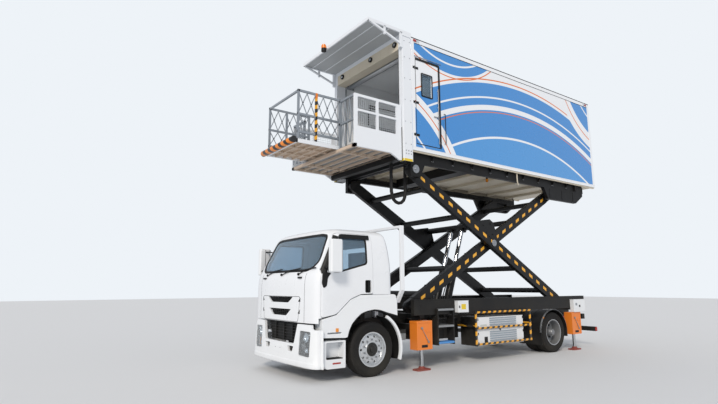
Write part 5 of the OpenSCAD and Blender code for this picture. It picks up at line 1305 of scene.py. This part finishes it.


# Loading platform
# A fixed deck on a black carriage that runs on the portal posts, with white sheet sides and wire-mesh windows.
# The deck's white underside and its folded ribs are painted brownish beige as painted shade, and the deck is chequered
# on top.
# The wire is 3 mm, welded at 48 mm; it is drawn at twice that thickness, so that the mesh shows.
DECK_Z = 4.13
DECK_UNDER = DECK_Z - 0.006
# Brownish beige for the deck's white underside: painted shade.
underside_beige_painted_shade = finish("deck_underside_painted_shade", "#cbb7a3", 0.55, 2.5, bump=0.15, dust=0.1)
chequer = finish("chequer_plate", "#9a9fa4", 0.42, 2.0, bump=0.5, metallic=0.7, dust=0.25)
wire_zinc = finish("galvanised_wire", "#cfd4d8", 0.4, 1.0, metallic=0.3, dust=0.05)
rail_grey = finish("rail_grey", "#9aa1a8", 0.35, 1.5, metallic=0.5, dust=0.05)
side_outline = [(2.42, DECK_Z - 0.17), (2.48, DECK_Z - 0.17), (2.7, DECK_Z - 0.06), (3.54, DECK_Z - 0.06),
                (3.54, 5.08), (2.42, 5.08)]
panel, wires = plate(side_outline, "y", 1.16, 1.2), []
for x0, x1 in ((2.54, 2.98), (3.03, 3.47)):
    for z0, z1 in ((DECK_Z + 0.33, DECK_Z + 0.62), (DECK_Z + 0.66, DECK_Z + 0.9)):
        panel = shaped(panel, plate(rounded(rect(x0, z0, x1, z1), 0.03), "y", 1.1, 1.3))
        wires += [tube([(x, 1.18, z0 - 0.004), (x, 1.18, z1 + 0.004)], 0.0032, 6)
                  for x in spaced(x0 + 0.0489, 0.0489, 8)]
        wires += [tube([(x0 - 0.004, 1.1765, z), (x1 + 0.004, 1.1765, z)], 0.0032, 6)
                  for z in spaced(z0 + 0.0485, 0.0485, int((z1 - z0) / 0.0485))]
gate = [box((3.5, 0.68, DECK_Z - 0.001), (3.54, 0.72, 5.08))]
gate += [box((3.5, 0.68, DECK_Z + z), (3.54, 1.161, DECK_Z + z + 0.04)) for z in (0.45, 0.91)]
for y in spaced(0.715, 0.15, 3):
    gate += [tube([(3.512, y, DECK_Z + 0.05), (3.512, y + 0.15, DECK_Z + 0.93)], 0.01, 8),
             tube([(3.528, y, DECK_Z + 0.93), (3.528, y + 0.15, DECK_Z + 0.05)], 0.01, 8)]
# The deck's frame and ribs underneath take the beige painted shade.
deck_frame = [box((2.42, -1.159, DECK_Z - 0.06), (2.47, 1.159, DECK_UNDER)),
              box((3.49, -1.2, DECK_Z - 0.06), (3.54, 1.2, DECK_UNDER))]
deck_frame += [box((x, -1.13, DECK_Z - 0.056), (x + 0.025, 1.13, DECK_UNDER)) for x in spaced(2.64, 0.21, 4)]
deck_frame += both(box((2.42, 1.11, DECK_Z - 0.06), (3.54, 1.16, DECK_UNDER)),
                   box((2.45, 0.635, DECK_Z - 0.0595), (3.51, 0.675, DECK_UNDER)))
carriage = both(box((2.4004, 1.12, DECK_Z - 0.17), (2.4206, 1.2, DECK_Z + 0.5)))
carriage.append(box((2.42, -1.1588, DECK_Z - 0.17), (2.54, 1.1588, DECK_Z - 0.0605)))
studs = both(*(tube([(2.419, 1.14, z), (2.426, 1.14, z)], 0.012, 6) for z in (DECK_Z - 0.1, DECK_Z + 0.42)))


def chequers(xs, ys, z):
    """Raised bars of a chequer plate."""
    return [box((x, y, z), (x + 0.022, y + 0.006, z + 0.0014)) for y in ys for x in xs]


deck_top = [box((2.42, -1.159, DECK_UNDER), (3.54, 1.159, DECK_Z))]
for y in spaced(-1.12, 0.0755, 30):
    deck_top += chequers([x for x in spaced(2.5, 0.068, 16) if x < 3.12 or abs(y) > 0.63], [y], DECK_Z)
fitted("platform_deck", "platform",
       [(portal_white, both(panel)), (underside_beige_painted_shade, deck_frame), (chequer, deck_top), (chassis_paint, carriage),
        (wire_zinc, both(*wires)), (rail_grey, both(*gate)), (bare_steel, studs)], ["platform"], "platform_white", 0)

# Sliding deck
# A white-edged deck that runs out over the fixed one, with folding lattice rails on both sides.
# The rails are grey tube pinned where they cross; a striped post with an orange cap stands in the near one.
SLIDE_X, SLIDE_Z, SLIDE_Y, RAIL_MID = (3.13, 4.42), (4.1303, 4.2003), 0.62, 0.595
back_x, front_x, low, top = SLIDE_X[0] + 0.03, SLIDE_X[1] - 0.03, SLIDE_Z[0], SLIDE_Z[1]
slide_frame = both(box((SLIDE_X[0], RAIL_MID, low), (SLIDE_X[1], SLIDE_Y, top)))
slide_frame += [box((x, -SLIDE_Y, low), (x + 0.03, SLIDE_Y, top)) for x in (SLIDE_X[0], front_x)]
# The sliding deck's underside takes the same beige painted shade.
slide_under = [box((back_x, -RAIL_MID, low + 0.045), (front_x, RAIL_MID, top - 0.006)),
               *(box((x, -RAIL_MID, low + 0.004), (x + 0.03, RAIL_MID, low + 0.046))
                 for x in spaced(SLIDE_X[0] + 0.14, 0.19, 6)),
               *both(box((back_x, 0.2, low + 0.002), (front_x, 0.24, low + 0.046)))]
slide_top = [box((back_x, -RAIL_MID, top - 0.006), (front_x, RAIL_MID, top)),
             *chequers(spaced(SLIDE_X[0] + 0.06, 0.068, 18), spaced(-0.56, 0.0755, 16), top)]
post_stripes = striped("post_bands", "#f0ab1e", "#17181a", 0.075, (0.6, 0.6, 1.0))
lattice, pivots = [], []
for y in (RAIL_MID, -RAIL_MID):
    lattice += [box((x, y - 0.015, top - 0.0005), (x + 0.04, y + 0.015, 5.15)) for x in (3.45, 3.98, 4.36)]
    lattice += [box((3.45, y - 0.0148, top + z), (4.4, y + 0.0148, top + z + 0.04)) for z in (0.12, 0.46, 0.91)]
    for a in spaced(3.49, 0.177, 5):
        b = a + 0.177
        for z0, z1 in ((top + 0.16, top + 0.46), (top + 0.5, top + 0.91)):
            lattice += [tube([(a, y - 0.006, z0), (b, y - 0.006, z1)], 0.0095, 8),
                        tube([(a, y + 0.006, z1), (b, y + 0.006, z0)], 0.0095, 8)]
            pivots.append(pin((a + b) / 2, (z0 + z1) / 2, y - 0.016, y + 0.016, 0.011, 10))
lattice.append(box((4.36, -0.61, 5.11), (4.39, 0.61, 5.15)))
striped_post = box((3.9785, RAIL_MID - 0.0165, 4.2004), (4.0215, RAIL_MID + 0.0165, 5.05))
orange_cap = box((3.977, RAIL_MID - 0.018, 5.05), (4.023, RAIL_MID + 0.018, 5.152))
fitted("slide_deck", "sliding_deck", [(portal_white, slide_frame), (underside_beige_painted_shade, slide_under), (chequer, slide_top)],
       ["sliding_deck"], "platform_white", 0)
fitted("slide_rails", "sliding_deck",
       [(rail_grey, lattice), (black_trim, pivots), (post_stripes, [striped_post]), (orange_paint, [orange_cap])],
       slot="steel", edge_mm=0)

# Buffer roller
# A thick foam-rubber roller across the deck's front, in orange and black bands, on a steel shaft.
coat_node("deck_buffer", striped("roller_bands", "#f08a1c", "#17181a", 0.11, (0.6, 1.0, 0.6)), 8)
